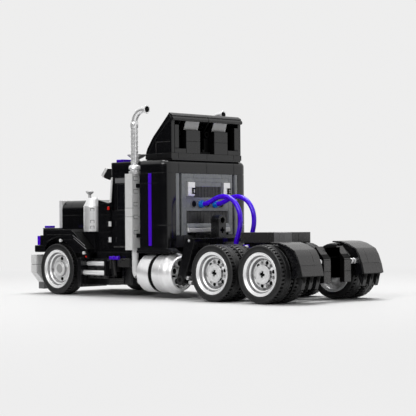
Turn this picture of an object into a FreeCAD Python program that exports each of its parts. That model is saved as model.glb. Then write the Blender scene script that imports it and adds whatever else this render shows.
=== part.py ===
import FreeCAD, Part
import Sketcher
import math
import os
import re

# Toy tractor unit, clipped together from plastic bricks on an 8 mm grid.
# Frame: X forward, Y to the truck's left, Z up, origin on the floor at the middle.
# Sizes in millimetres
# The grid and the general fits
STUD = 8.0
PLATE = 3.2
WALL = 3.2
PIN_HOLE_RADIUS = 2.4
RUNNING_FIT = 0.05
PANEL_FIT = 0.3
TYRE_CLEARANCE = 2.0

# Wheels and axles
TYRE_RADIUS = 21.6
TYRE_WIDTH = 14.0
RIM_RADIUS = 16.2
SHAFT_RADIUS = 2.4
WHEEL_BASE = 232.0
TANDEM = 48.0
FRONT_OVERHANG = 34.5
REAR_OVERHANG = 32.5
OVERALL_WIDTH = 114.6
OVERALL_HEIGHT = 153.3
DUAL_SPACE = 1.9
FRONT_INSET = 4.6
HUB_RADIUS = 7.1
HUB_RECESS = 3.0
DISC_RECESS = 6.0
DISC_BACK = 8.2
RIM_WALL = 1.8
HAND_HOLE_RADIUS = 1.3
HAND_HOLE_CIRCLE = 8.8

# Frame
WHEEL_GAP = 3.4
RAIL_LOW = 17.6
RAIL_HIGH = 33.6
BUMPER_THICK = 7.5

# Sleeper
SLEEPER_BACK_X = -11.0
SLEEPER_FRONT_X = 16.7
SLEEPER_HALF = 48.0
SLEEPER_LOW = 40.0
SLEEPER_HIGH = 109.3
SLEEPER_CORNER = 7.5
SLEEPER_CROWN = 4.0
PANEL_THICK = 2.0
PANEL_HALF = 29.4
PANEL_LOW = 49.6
PANEL_HIGH = 98.8
STRIP_INSIDE = 32.0
STRIP_OUTSIDE = 36.0
PIN_ROW_Z = 74.6
SKIRT_LOW = 36.4
SKIRT_WIDE = 10.0
SKIRT_END_X = -15.0
STRIPE_X = 4.0
STRIPE_WIDE = 3.4
STRIPE_THICK = 0.6

# Cab and doors
CAB_HALF = 40.0
CAB_LOW = 36.2
CAB_ROOF_LOW = 99.0
CAB_ROOF_HIGH = 109.3
CAB_FRONT_X = 62.3
COWL_FRONT_X = 76.4
BELT_Z = 70.0
COWL_Z = 76.5
DOOR_BACK_X = 35.5
DOOR_FRONT_X = 59.3
DOOR_LOW = 39.7
DOOR_HIGH = 97.0
DOOR_POST = 3.0
DOOR_SWING_GAP = 0.6
HINGE_X = 60.5
HINGE_OUT = 2.0
HINGE_RADIUS = 1.5
ROOF_CORNER = 5.0

# Bonnet and grille
HOOD_HALF = 27.8
HOOD_LOW = 52.7
HOOD_HIGH = 79.2
HOOD_CROWN = 8.0
GRILLE_HALF = 28.0
SHELL_HIGH = 70.8
SHELL_HALF = 24.0
GRILLE_STEP = 3.2

# Fenders
FENDER_WIDE = 24.0
FENDER_LOW = 35.5
FENDER_DECK = 52.6
FENDER_TOP = 54.5

# Air cleaners, stacks and tanks
CLEANER_RADIUS = 8.0
CLEANER_HIGH = 74.1
CLEANER_CAP = 81.0
SHIELD_X = 28.5
SHIELD_OUT = 6.0
SHIELD_LOW = 38.0
SHIELD_HIGH = 98.5
PIPE_X = 27.1
PIPE_Y = 44.6
PIPE_RADIUS = 2.6
RISER_RADIUS = 2.9
TIP_RADIUS = 3.0
TIP_BEND = 11.0
TANK_BACK_X = -22.2
TANK_FRONT_X = 17.0
TANK_STEP = 0.8
TANK_DISH = 5.0
TANK_TUBE_CIRCLE = 8.2
TANK_RADIUS = 16.0
TANK_GAP = 0.4
TANK_Z = 20.0
TANK_INLET_Z = 13.5
BAND_X = -2.4
BAND_WIDE = 4.0

# Roof fairing
FAIRING_LOW = 114.9
FAIRING_FRONT_X = 18.1
FAIRING_TOP_X = -7.7
FAIRING_TOP_Z = 146.4
FAIRING_LIP_X = -12.0
FAIRING_LIP_Z = 142.3
FAIRING_THICK = 3.0

# Steps
STEP_RADIUS = 2.0
STEP_END_X = 55.5

# Rear deck, tail and guards
DECK_LOW = 43.7
DECK_HIGH = 51.5
DECK_CORNER = 3.0
GUARD_LOW = 20.1
GUARD_HIGH = 44.1
ARM_INSIDE = 44.0
ARM_OUTSIDE = 50.0
HOSE_Y = 8.0
HOSE_RADIUS = 1.9
HOSE_END_X = -49.0
SOCKET_HIGH = 37.0

doc = FreeCAD.newDocument("TractorUnit")
sheet = doc.addObject("Spreadsheet::Sheet", "Sizes")
sheet.Label = "Sizes"
aliases = []


def size(name, value):
    """Writes one size, a number or a formula of other sizes, into the sheet."""
    text = str(value)
    if isinstance(value, str):
        text = "=" + value
    row = len(aliases) + 1
    sheet.set("A%d" % row, name)
    sheet.set("B%d" % row, text)
    sheet.setAlias("B%d" % row, name)
    aliases.append(name)


def bound(expression):
    """Puts the sheet's name before each size in an expression."""
    text = str(expression)
    return re.sub(r"[a-z][a-z_0-9]*", lambda m: "Sizes." + m.group(0)
                  if m.group(0) in aliases else m.group(0), text)


def value(name):
    return float(sheet.get(name))


# The grid and the general fits
size("stud", STUD)
size("plate", PLATE)
size("wall", WALL)
size("pin_hole_radius", PIN_HOLE_RADIUS)
size("running_fit", RUNNING_FIT)
size("panel_fit", PANEL_FIT)
size("tyre_clearance", TYRE_CLEARANCE)

# Wheels and axles
size("tyre_radius", TYRE_RADIUS)
size("tyre_width", TYRE_WIDTH)
size("rim_radius", RIM_RADIUS)
size("shaft_radius", SHAFT_RADIUS)
size("wheel_base", WHEEL_BASE)
size("tandem", TANDEM)
size("front_overhang", FRONT_OVERHANG)
size("rear_overhang", REAR_OVERHANG)
size("overall_width", OVERALL_WIDTH)
size("overall_height", OVERALL_HEIGHT)
size("front_axle_x", "(wheel_base + rear_overhang - front_overhang) / 2")
size("rear_axle_x", "front_axle_x - wheel_base")
size("mid_axle_x", "rear_axle_x + tandem")
size("dual_face_y", "overall_width / 2")
size("dual_space", DUAL_SPACE)
size("front_inset", FRONT_INSET)
size("front_face_y", "dual_face_y - front_inset")
size("dual_depth", "2 * tyre_width + dual_space")
size("bore_radius", "shaft_radius + running_fit")
size("hub_radius", HUB_RADIUS)
size("hub_recess", HUB_RECESS)
size("disc_recess", DISC_RECESS)
size("disc_back", DISC_BACK)
size("rim_wall", RIM_WALL)
size("hand_hole_radius", HAND_HOLE_RADIUS)
size("hand_hole_circle", HAND_HOLE_CIRCLE)

# Frame
size("wheel_gap", WHEEL_GAP)
size("rail_outside", "dual_face_y - dual_depth - wheel_gap")
size("rail_inside", "rail_outside - stud")
size("rail_low", RAIL_LOW)
size("rail_high", RAIL_HIGH)
size("rear_end_x", "rear_axle_x - rear_overhang")
size("front_end_x", "front_axle_x + front_overhang")
size("bumper_thick", BUMPER_THICK)
size("bumper_back_x", "front_end_x - bumper_thick")
size("tail_face_x", "rear_axle_x - 22.5")

# Sleeper
size("sleeper_back_x", SLEEPER_BACK_X)
size("sleeper_front_x", SLEEPER_FRONT_X)
size("sleeper_half", SLEEPER_HALF)
size("sleeper_low", SLEEPER_LOW)
size("sleeper_high", SLEEPER_HIGH)
size("sleeper_corner", SLEEPER_CORNER)
size("sleeper_crown", SLEEPER_CROWN)
size("panel_thick", PANEL_THICK)
size("panel_half", PANEL_HALF)
size("panel_low", PANEL_LOW)
size("panel_high", PANEL_HIGH)
size("strip_inside", STRIP_INSIDE)
size("strip_outside", STRIP_OUTSIDE)
size("pin_row_z", PIN_ROW_Z)
size("skirt_low", SKIRT_LOW)
size("skirt_wide", SKIRT_WIDE)
size("skirt_end_x", SKIRT_END_X)
size("stripe_x", STRIPE_X)
size("stripe_wide", STRIPE_WIDE)
size("stripe_thick", STRIPE_THICK)

# Cab and doors
size("cab_half", CAB_HALF)
size("skirt_half", "cab_half + skirt_wide")
size("cab_low", CAB_LOW)
size("cab_roof_low", CAB_ROOF_LOW)
size("cab_roof_high", CAB_ROOF_HIGH)
size("cab_front_x", CAB_FRONT_X)
size("cowl_front_x", COWL_FRONT_X)
size("belt_z", BELT_Z)
size("cowl_z", COWL_Z)
size("door_back_x", DOOR_BACK_X)
size("door_front_x", DOOR_FRONT_X)
size("door_low", DOOR_LOW)
size("door_high", DOOR_HIGH)
size("door_post", DOOR_POST)
size("door_swing_gap", DOOR_SWING_GAP)
size("hinge_x", HINGE_X)
size("hinge_out", HINGE_OUT)
size("hinge_y", "cab_half + hinge_out")
size("hinge_radius", HINGE_RADIUS)
size("roof_corner", ROOF_CORNER)

# Bonnet and grille
size("hood_half", HOOD_HALF)
size("hood_low", HOOD_LOW)
size("hood_high", HOOD_HIGH)
size("hood_front_x", "front_axle_x + 21.4")
size("hood_crown", HOOD_CROWN)
size("grille_half", GRILLE_HALF)
size("shell_high", SHELL_HIGH)
size("shell_half", SHELL_HALF)
size("grille_step", GRILLE_STEP)

# Fenders
size("fender_inside", "rail_outside + stud / 2")
size("fender_wide", FENDER_WIDE)
size("fender_half", "fender_inside + fender_wide")
size("fender_low", FENDER_LOW)
size("fender_deck", FENDER_DECK)
size("fender_top", FENDER_TOP)
size("fender_rear_x", "front_axle_x - 38.2")
size("fender_front_x", "front_axle_x + 21.8")
size("fender_lip_x", "front_axle_x + 29")
size("arch_radius", "tyre_radius + 2 * tyre_clearance")

# Air cleaners, stacks and tanks
size("cleaner_x", "cowl_front_x + 10.6")
size("cleaner_radius", CLEANER_RADIUS)
size("cleaner_y", "hood_half + cleaner_radius + panel_fit")
size("cleaner_high", CLEANER_HIGH)
size("cleaner_cap", CLEANER_CAP)
size("shield_x", SHIELD_X)
size("shield_out", SHIELD_OUT)
size("shield_y", "cab_half + shield_out")
size("shield_low", SHIELD_LOW)
size("shield_high", SHIELD_HIGH)
size("pipe_x", PIPE_X)
size("pipe_y", PIPE_Y)
size("pipe_radius", PIPE_RADIUS)
size("riser_radius", RISER_RADIUS)
size("tip_radius", TIP_RADIUS)
size("tip_bend", TIP_BEND)
size("riser_high", "overall_height - tip_radius - tip_bend")
size("riser_pitch", "(riser_high - shield_high - 7.2) / 8")
size("tank_back_x", TANK_BACK_X)
size("tank_front_x", TANK_FRONT_X)
size("tank_step", TANK_STEP)
size("tank_dish", TANK_DISH)
size("tank_tube_circle", TANK_TUBE_CIRCLE)
size("tank_radius", TANK_RADIUS)
size("tank_gap", TANK_GAP)
size("tank_y", "rail_outside + tank_radius + tank_gap")
size("tank_z", TANK_Z)
size("tank_inlet_z", TANK_INLET_Z)
size("band_x", BAND_X)
size("band_wide", BAND_WIDE)

# Roof fairing
size("fairing_half", "cab_half")
size("fairing_low", FAIRING_LOW)
size("fairing_front_x", FAIRING_FRONT_X)
size("fairing_top_x", FAIRING_TOP_X)
size("fairing_top_z", FAIRING_TOP_Z)
size("fairing_lip_x", FAIRING_LIP_X)
size("fairing_lip_z", FAIRING_LIP_Z)
size("fairing_thick", FAIRING_THICK)

# Steps
size("step_radius", STEP_RADIUS)
size("step_end_x", STEP_END_X)
size("step_panel_x", "fender_rear_x + 5.2")
size("side_inside", "rail_outside + 2")

# Rear deck, tail and guards
size("deck_back_x", "rear_axle_x + 11")
size("deck_front_x", "mid_axle_x + 7")
size("deck_half", "rail_outside - stud")
size("deck_low", DECK_LOW)
size("deck_high", DECK_HIGH)
size("deck_corner", DECK_CORNER)
size("guard_inside", "rail_outside")
size("guard_outside", "guard_inside + 3 * stud")
size("guard_low", GUARD_LOW)
size("guard_high", GUARD_HIGH)
size("guard_inner_radius", "tyre_radius + tyre_clearance")
size("arm_inside", ARM_INSIDE)
size("arm_outside", ARM_OUTSIDE)
size("hose_y", HOSE_Y)
size("hose_radius", HOSE_RADIUS)
size("hose_end_x", HOSE_END_X)
size("socket_high", SOCKET_HIGH)
doc.recompute()

nodes = {}


def keep(item, label):
    """Names an object as one sub-part of the truck."""
    item.Label = label
    nodes[label] = item
    return item


def fresh(kind, name):
    return doc.addObject(kind, name)


def box(name, x, y, z):
    """A block between two stations on each axis, given as expressions."""
    item = fresh("Part::Box", name)
    for prop, axis, span in (("Length", "x", x), ("Width", "y", y), ("Height", "z", z)):
        item.setExpression("Placement.Base." + axis, bound(span[0]))
        item.setExpression(prop, bound("(%s) - (%s)" % (span[1], span[0])))
    return item


TURN = {"x": FreeCAD.Rotation(FreeCAD.Vector(0, 1, 0), 90),
        "y": FreeCAD.Rotation(FreeCAD.Vector(1, 0, 0), -90),
        "z": FreeCAD.Rotation()}


def seat(item, turn, place):
    """Turns an object and binds its place to three expressions."""
    item.Placement = FreeCAD.Placement(FreeCAD.Vector(), turn)
    for axis, expression in zip("xyz", place):
        item.setExpression("Placement.Base." + axis, bound(expression))
    return item


def rod(name, axis, start, length, radius):
    """A cylinder along one axis from a start point."""
    item = fresh("Part::Cylinder", name)
    item.setExpression("Radius", bound(radius))
    item.setExpression("Height", bound(length))
    return seat(item, TURN[axis], start)


def cone(name, axis, start, length, radius, end_radius):
    item = fresh("Part::Cone", name)
    item.setExpression("Radius1", bound(radius))
    item.setExpression("Radius2", bound(end_radius))
    item.setExpression("Height", bound(length))
    return seat(item, TURN[axis], start)


PLANE = {"xy": "XY_Plane", "xz": "XZ_Plane", "yz": "YZ_Plane"}


def outline(name, plane, points):
    """A body with a closed sketch whose corners are bound to pairs of expressions."""
    body = fresh("PartDesign::Body", name)
    sketch = body.newObject("Sketcher::SketchObject", name + "_outline")
    origin = [part for part in body.Origin.OriginFeatures if part.Role == PLANE[plane]]
    sketch.AttachmentSupport = (origin[0], [""])
    sketch.MapMode = "FlatFace"
    count = len(points)
    start = [FreeCAD.Vector(i + 1.0, (i * i) % 7 + 1.0, 0) for i in range(count)]
    for i in range(count):
        sketch.addGeometry(Part.LineSegment(start[i], start[(i + 1) % count]), False)
    for i in range(count):
        sketch.addConstraint(Sketcher.Constraint("Coincident", i, 2, (i + 1) % count, 1))
    for i, (across, up) in enumerate(points):
        for kind, expression, now in (("DistanceX", across, start[i].x), ("DistanceY", up, start[i].y)):
            index = sketch.addConstraint(Sketcher.Constraint(kind, -1, 1, i, 1, now))
            sketch.setExpression("Constraints[%d]" % index, bound(expression))
    return body, sketch


def prism(name, plane, points, low, high):
    """A sketched outline pushed out square to its plane between two stations."""
    body, sketch = outline(name, plane, points)
    pad = body.newObject("PartDesign::Pad", name + "_pad")
    pad.Profile = sketch
    pad.Reversed = plane == "xz"
    pad.setExpression("Length", bound("(%s) - (%s)" % (high, low)))
    axis = {"xy": "z", "xz": "y", "yz": "x"}[plane]
    body.setExpression("Placement.Base." + axis, bound(low))
    return body


def spun(name, plane, points, axis, place):
    """A sketched profile turned once round one of its sketch's axes."""
    body, sketch = outline(name, plane, points)
    turn = body.newObject("PartDesign::Revolution", name + "_turn")
    turn.Profile = sketch
    turn.ReferenceAxis = (sketch, [axis])
    turn.Angle = 360
    for letter, expression in zip("xyz", place):
        body.setExpression("Placement.Base." + letter, bound(expression))
    return body


def turned(name, points, axle_x):
    """A profile of (Y, radius) corners turned about a cross axle."""
    return spun(name, "yz", points, "H_Axis", (axle_x, 0, "tyre_radius"))


def upright(name, points, x, y):
    """A profile of (radius, Z) corners turned about a vertical axis."""
    return spun(name, "xz", points, "V_Axis", (x, y, 0))


def fuse(name, *items):
    item = fresh("Part::MultiFuse", name)
    item.Shapes = list(items)
    item.Refine = True
    return item


def group(name, *items):
    """Solids of one sub-part that don't touch each other."""
    item = fresh("Part::Compound", name)
    item.Links = list(items)
    return item


def cut(name, base, *tools):
    tool = tools[0]
    if len(tools) > 1:
        tool = fuse(name + "_tools", *tools)
    item = fresh("Part::Cut", name)
    item.Base = base
    item.Tool = tool
    return item


def mirror(name, source):
    """The same piece on the truck's other side."""
    item = fresh("Part::Mirroring", name)
    item.Source = source
    item.Normal = FreeCAD.Vector(0, 1, 0)
    return item


def pair(label, source):
    """Keeps a piece made on the left and its mirror image on the right."""
    keep(source, label + "_left")
    keep(mirror(label + "_mirror", source), label + "_right")


def both(name, source):
    return group(name, source, mirror(name + "_mirror", source))


def rounded(name, base, radius, pick):
    """Rounds the edges that a test picks, with a radius from the sheet."""
    doc.recompute()
    item = fresh("Part::Fillet", name)
    item.Base = base
    amount = value(radius)
    item.Edges = [(i, amount, amount) for i, edge in enumerate(base.Shape.Edges, 1) if pick(edge)]
    return item


def near(a, b):
    return abs(a - b) < 0.01


def along(edge, axis):
    """True for a straight edge that runs along one axis."""
    spans = {"x": edge.BoundBox.XLength, "y": edge.BoundBox.YLength, "z": edge.BoundBox.ZLength}
    return spans[axis] > 0.1 and all(spans[k] < 0.001 for k in spans if k != axis)


# Frame rails with their cross members
def build_frame():
    rail = box("rail", ("tail_face_x", "bumper_back_x"), ("rail_inside", "rail_outside"),
            ("rail_low", "rail_high"))
    members = [rail, mirror("rail_mirror", rail)]
    stations = (("tail_member", "tail_face_x", "tail_face_x + stud"),
                ("tandem_member", "rear_axle_x + 20", "rear_axle_x + 28"),
                ("hose_member", "hose_end_x - 4", "hose_end_x + 4"),
                ("beam_member", "-27", "-19"),
                ("cab_member", "40", "48"),
                ("nose_member", "bumper_back_x - stud", "bumper_back_x"))
    for name, low, high in stations:
        members.append(box(name, (low, high), ("-rail_inside", "rail_inside"), ("rail_low", "rail_high")))
    members.append(box("sleeper_rest", ("-6", "12"), ("-rail_outside", "rail_outside"),
            ("rail_high", "sleeper_low")))
    members.append(box("cab_rest", ("26", "56"), ("-rail_outside", "rail_outside"), ("rail_high", "cab_low")))
    body = fuse("frame_body", *members)
    holes = []
    for name, x in (("rear", "rear_axle_x"), ("mid", "mid_axle_x"), ("front", "front_axle_x")):
        holes.append(rod(name + "_bearing", "y", (x, "-rail_outside - 1", "tyre_radius"),
                         "2 * rail_outside + 2", "bore_radius"))
    keep(cut("frame_cut", body, *holes), "chassis_frame")


# Wheels, tyres and axles
def rim_front(face, into="-"):
    """The dished side of a rim, from its lip to the hub's face."""
    steps = ((None, "rim_radius"), (None, "rim_radius - 0.6"), ("0.5", "rim_radius - 1"),
            ("0.7", "rim_radius - 2.2"), ("3.2", "rim_radius - 3.3"), ("4", "rim_radius - 4.2"),
            ("disc_recess", "rim_radius - 5"), ("disc_recess", "hub_radius + 0.2"),
            ("(hub_recess + 0.2)", "hub_radius"), ("hub_recess", "hub_radius - 0.2"))
    return [(face if depth is None else "%s %s %s" % (face, into, depth), radius) for depth, radius in steps]


def hand_holes(name, turns, axle_x, low, high):
    """Small round holes through the rim's disc, at angles about the axle."""
    holes = []
    for i, angle in enumerate(turns):
        turn = "%d" % angle
        holes.append(rod("%s_hole_%d" % (name, i), "y",
                         ("%s + hand_hole_circle * cos(%s)" % (axle_x, turn), low,
                          "tyre_radius + hand_hole_circle * sin(%s)" % turn),
                         "(%s) - (%s)" % (high, low), "hand_hole_radius"))
    return holes


def build_tyre(name, face, axle_x):
    inner = "rim_radius + running_fit"
    points = [("%s - 0.5" % face, inner), ("%s" % face, "rim_radius + 1.2"),
              ("%s - 0.3" % face, "tyre_radius - 1.4"), ("%s - 1.8" % face, "tyre_radius"),
              ("%s - tyre_width + 1.8" % face, "tyre_radius"),
              ("%s - tyre_width + 0.3" % face, "tyre_radius - 1.4"),
              ("%s - tyre_width" % face, "rim_radius + 1.2"),
              ("%s - tyre_width + 0.5" % face, inner)]
    return turned(name, points, axle_x)


def build_front_wheel():
    face = "front_face_y"
    points = rim_front(face) + [
        (face + " - hub_recess", 0), (face + " - hub_recess - 2", 0),
        (face + " - hub_recess - 2", "bore_radius"), (face + " - tyre_width + 1", "bore_radius"),
        (face + " - tyre_width + 1", "hub_radius"), (face + " - disc_back", "hub_radius + 1"),
        (face + " - disc_back", "rim_radius - rim_wall"), (face + " - tyre_width", "rim_radius - rim_wall"),
        (face + " - tyre_width", "rim_radius")]
    body = turned("front_rim_body", points, "front_axle_x")
    rim = cut("front_rim", body, *hand_holes("front", (90, 270), "front_axle_x", face + " - tyre_width",
                                            face + " - hub_recess"))
    pair("front_rim", rim)
    pair("front_tyre", build_tyre("front_tyre", face, "front_axle_x"))


def build_dual(name, axle_x):
    face = "dual_face_y"
    back = "(dual_face_y - dual_depth)"
    points = rim_front(face) + [(face + " - hub_recess", "bore_radius")]
    points += [(back + " + hub_recess", "bore_radius")] + rim_front(back, "+")[::-1]
    points += [(back + " + tyre_width", "rim_radius"), (back + " + tyre_width", "rim_radius - rim_wall"),
               (back + " + disc_back", "rim_radius - rim_wall"), (back + " + disc_back", "hub_radius + 1"),
               (face + " - disc_back", "hub_radius + 1"), (face + " - disc_back", "rim_radius - rim_wall"),
               (face + " - tyre_width", "rim_radius - rim_wall"), (face + " - tyre_width", "rim_radius")]
    body = turned(name + "_rim_body", points, axle_x)
    turns = [60 * i + 14 for i in range(6)]
    rim = cut(name + "_rim_left", body, *hand_holes(name, turns, axle_x, face + " - disc_back - 1",
                                                   face + " - disc_recess + 1"))
    keep(both(name + "_rims", rim), name + "_rims")
    outer = build_tyre(name + "_tyre_outer", face, axle_x)
    inner = build_tyre(name + "_tyre_inner", "(dual_face_y - tyre_width - dual_space)", axle_x)
    keep(both(name + "_tyres", group(name + "_tyre_set", outer, inner)), name + "_tyres")
    shaft = rod(name + "_rod", "y", (axle_x, "-dual_face_y + hub_recess + 0.6", "tyre_radius"),
                "2 * (dual_face_y - hub_recess - 0.6)", "shaft_radius")
    bush = rod(name + "_bush", "y", (axle_x, "rail_outside + panel_fit", "tyre_radius"),
               "dual_face_y - dual_depth - rail_outside", "shaft_radius + 1.6")
    keep(fuse(name + "_shaft", shaft, bush, mirror(name + "_bush_mirror", bush)), name + "_shaft")


def build_front_axle():
    reach = "front_face_y - hub_recess - 2.6"
    shaft = rod("front_axle_rod", "y", ("front_axle_x", "-(%s)" % reach, "tyre_radius"),
                "2 * (%s)" % reach, "shaft_radius")
    bush = rod("front_bush", "y", ("front_axle_x", "rail_outside", "tyre_radius"),
               "front_face_y - tyre_width + 0.6 - rail_outside", "shaft_radius + 1.6")
    keep(fuse("front_axle", shaft, bush, mirror("front_bush_mirror", bush)), "front_axle")


# Sleeper with its back panel
def build_sleeper():
    shell = box("sleeper_block", ("sleeper_back_x", "sleeper_front_x"), ("-sleeper_half", "sleeper_half"),
                ("sleeper_low", "sleeper_high"))
    doc.recompute()
    back = value("sleeper_back_x")
    high = value("sleeper_high")
    half = value("sleeper_half")
    shell = rounded("sleeper_round", shell, "sleeper_corner",
                    lambda e: along(e, "z") and near(e.BoundBox.XMin, back))
    shell = rounded("sleeper_crowned", shell, "sleeper_crown",
            lambda e: along(e, "x") and near(e.BoundBox.ZMin, high) and near(abs(e.BoundBox.YMin), half))
    room = box("sleeper_room", ("sleeper_back_x + panel_thick + wall", "sleeper_front_x - wall"),
               ("-sleeper_half + wall", "sleeper_half - wall"), ("sleeper_low + wall", "sleeper_high - wall"))
    recess = box("sleeper_recess", ("sleeper_back_x - 1", "sleeper_back_x + panel_thick"),
                 ("-strip_outside", "strip_outside"), ("panel_low", "panel_high"))
    keep(cut("sleeper_cut", shell, room, recess), "sleeper_shell")


def build_back_panel():
    panel = box("panel_block", ("sleeper_back_x", "sleeper_back_x + panel_thick"),
            ("-panel_half", "panel_half"), ("panel_low", "panel_high"))
    upper = box("vent_upper", ("sleeper_back_x - 1", "sleeper_back_x + panel_thick + 1"), ("-16", "16"),
            ("79.8", "88.4"))
    lower = box("vent_lower", ("sleeper_back_x - 1", "sleeper_back_x + panel_thick + 1"), ("-24.2", "24.2"),
                ("59.1", "69"))
    holes = [upper, lower]
    for i in range(-2, 3):
        holes.append(rod("panel_hole_%d" % (i + 2), "x", ("sleeper_back_x - 1", "%d * stud" % i, "pin_row_z"),
                         "panel_thick + 2", "pin_hole_radius"))
    keep(cut("panel_cut", panel, *holes), "back_panel")
    strip = box("strip", ("sleeper_back_x", "sleeper_back_x + panel_thick"), ("strip_inside", "strip_outside"),
                ("panel_low", "panel_high"))
    keep(both("strips", strip), "panel_strips")
    grilles = []
    for name, half, low, high in (("upper", 16.0, 79.8, 88.4), ("lower", 24.2, 59.1, 69.0)):
        back = box(name + "_grille_back", ("sleeper_back_x + 1.4", "sleeper_back_x + panel_thick"),
                   ("-%s" % half, "%s" % half), (low, high))
        ribs = [back]
        count = int(half * 2 / 3.2)
        for i in range(count):
            y = -half + 0.8 + i * 3.2
            ribs.append(box("%s_rib_%d" % (name, i), ("sleeper_back_x + 0.4", "sleeper_back_x + 1.4"),
                            (y, y + 1.6), (low, high)))
        grilles.append(fuse(name + "_grille", *ribs))
    keep(group("grilles", *grilles), "vent_grilles")
    bracket = box("bracket", ("sleeper_back_x - 2.4", "sleeper_back_x"), ("17", "24.6"), ("81", "92"))
    bar = box("bar", ("sleeper_back_x - 1.6", "sleeper_back_x"), ("-24.4", "24.4"), ("51.8", "55.8"))
    keep(group("panel_trim", bracket, mirror("bracket_mirror", bracket), bar), "panel_trim")


def build_sleeper_trim():
    skirt = prism("skirt", "xz", [("19", "skirt_low"), ("19", "sleeper_low"), ("skirt_end_x", "sleeper_low"),
                                  ("skirt_end_x - 2.4", "skirt_low + 2"), ("skirt_end_x - 6.6", "skirt_low")],
                  "cab_half + 0.5", "skirt_half")
    keep(both("skirts", skirt), "sleeper_skirts")
    stripe = box("stripe", ("stripe_x", "stripe_x + stripe_wide"),
            ("sleeper_half", "sleeper_half + stripe_thick"), ("sleeper_low + 1.5", "panel_high"))
    keep(both("stripes", stripe), "sleeper_stripes")


def build_fairing():
    outer = [("fairing_lip_x", "fairing_lip_z"), ("fairing_top_x", "fairing_top_z"),
            ("fairing_front_x - 7.5", "fairing_low + 13.1"), ("fairing_front_x - 0.7", "fairing_low + 3.7"),
            ("fairing_front_x", "fairing_low"), ("sleeper_back_x", "fairing_low"),
            ("sleeper_back_x", "fairing_low + 24.1")]
    inner = [("sleeper_back_x - 4", "fairing_low + 23.7"), ("sleeper_back_x + 2.6", "fairing_low + 27.3"),
            ("fairing_front_x - 10.5", "fairing_low + 11.5"), ("fairing_front_x - 3.9", "fairing_low + 2.5"),
            ("fairing_front_x - 3.5", "fairing_low - 1"), ("sleeper_back_x - 4", "fairing_low - 1")]
    shell = prism("fairing_block", "xz", outer, "-fairing_half", "fairing_half")
    room = prism("fairing_room", "xz", inner, "-fairing_half + fairing_thick", "fairing_half - fairing_thick")
    keep(cut("fairing_cut", shell, room), "roof_fairing")
    base = box("fairing_plate", ("sleeper_back_x", "fairing_front_x"), ("-fairing_half", "fairing_half"),
               ("sleeper_high", "fairing_low"))
    keep(base, "fairing_base")
    pillar = box("fairing_pillar", ("sleeper_back_x", "sleeper_back_x + 8"), ("8.2", "fairing_half - 15.8"),
            ("fairing_low", "fairing_low + 18.5"))
    slope = prism("fairing_slope", "xz", [("sleeper_back_x", "fairing_low + 25.7"),
            ("sleeper_back_x + 5.4", "fairing_low + 18.5"), ("sleeper_back_x + 7.6", "fairing_low + 18.5"),
            ("sleeper_back_x + 7.6", "fairing_low + 21.7"), ("sleeper_back_x + 2.2", "fairing_low + 26.8")],
            "8.2", "fairing_half - 15.8")
    post = box("fairing_post", ("sleeper_back_x", "sleeper_back_x + 4.6"),
            ("fairing_half - 7.6", "fairing_half - fairing_thick"), ("fairing_low", "fairing_low + 22.5"))
    foot = box("fairing_foot", ("sleeper_back_x", "sleeper_back_x + 4.6"),
            ("fairing_half - 15.8", "fairing_half - 7.6"), ("fairing_low", "fairing_low + 3.7"))
    keep(both("fairing_rib_pair", fuse("fairing_rib", pillar, slope, post, foot)), "fairing_ribs")


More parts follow.
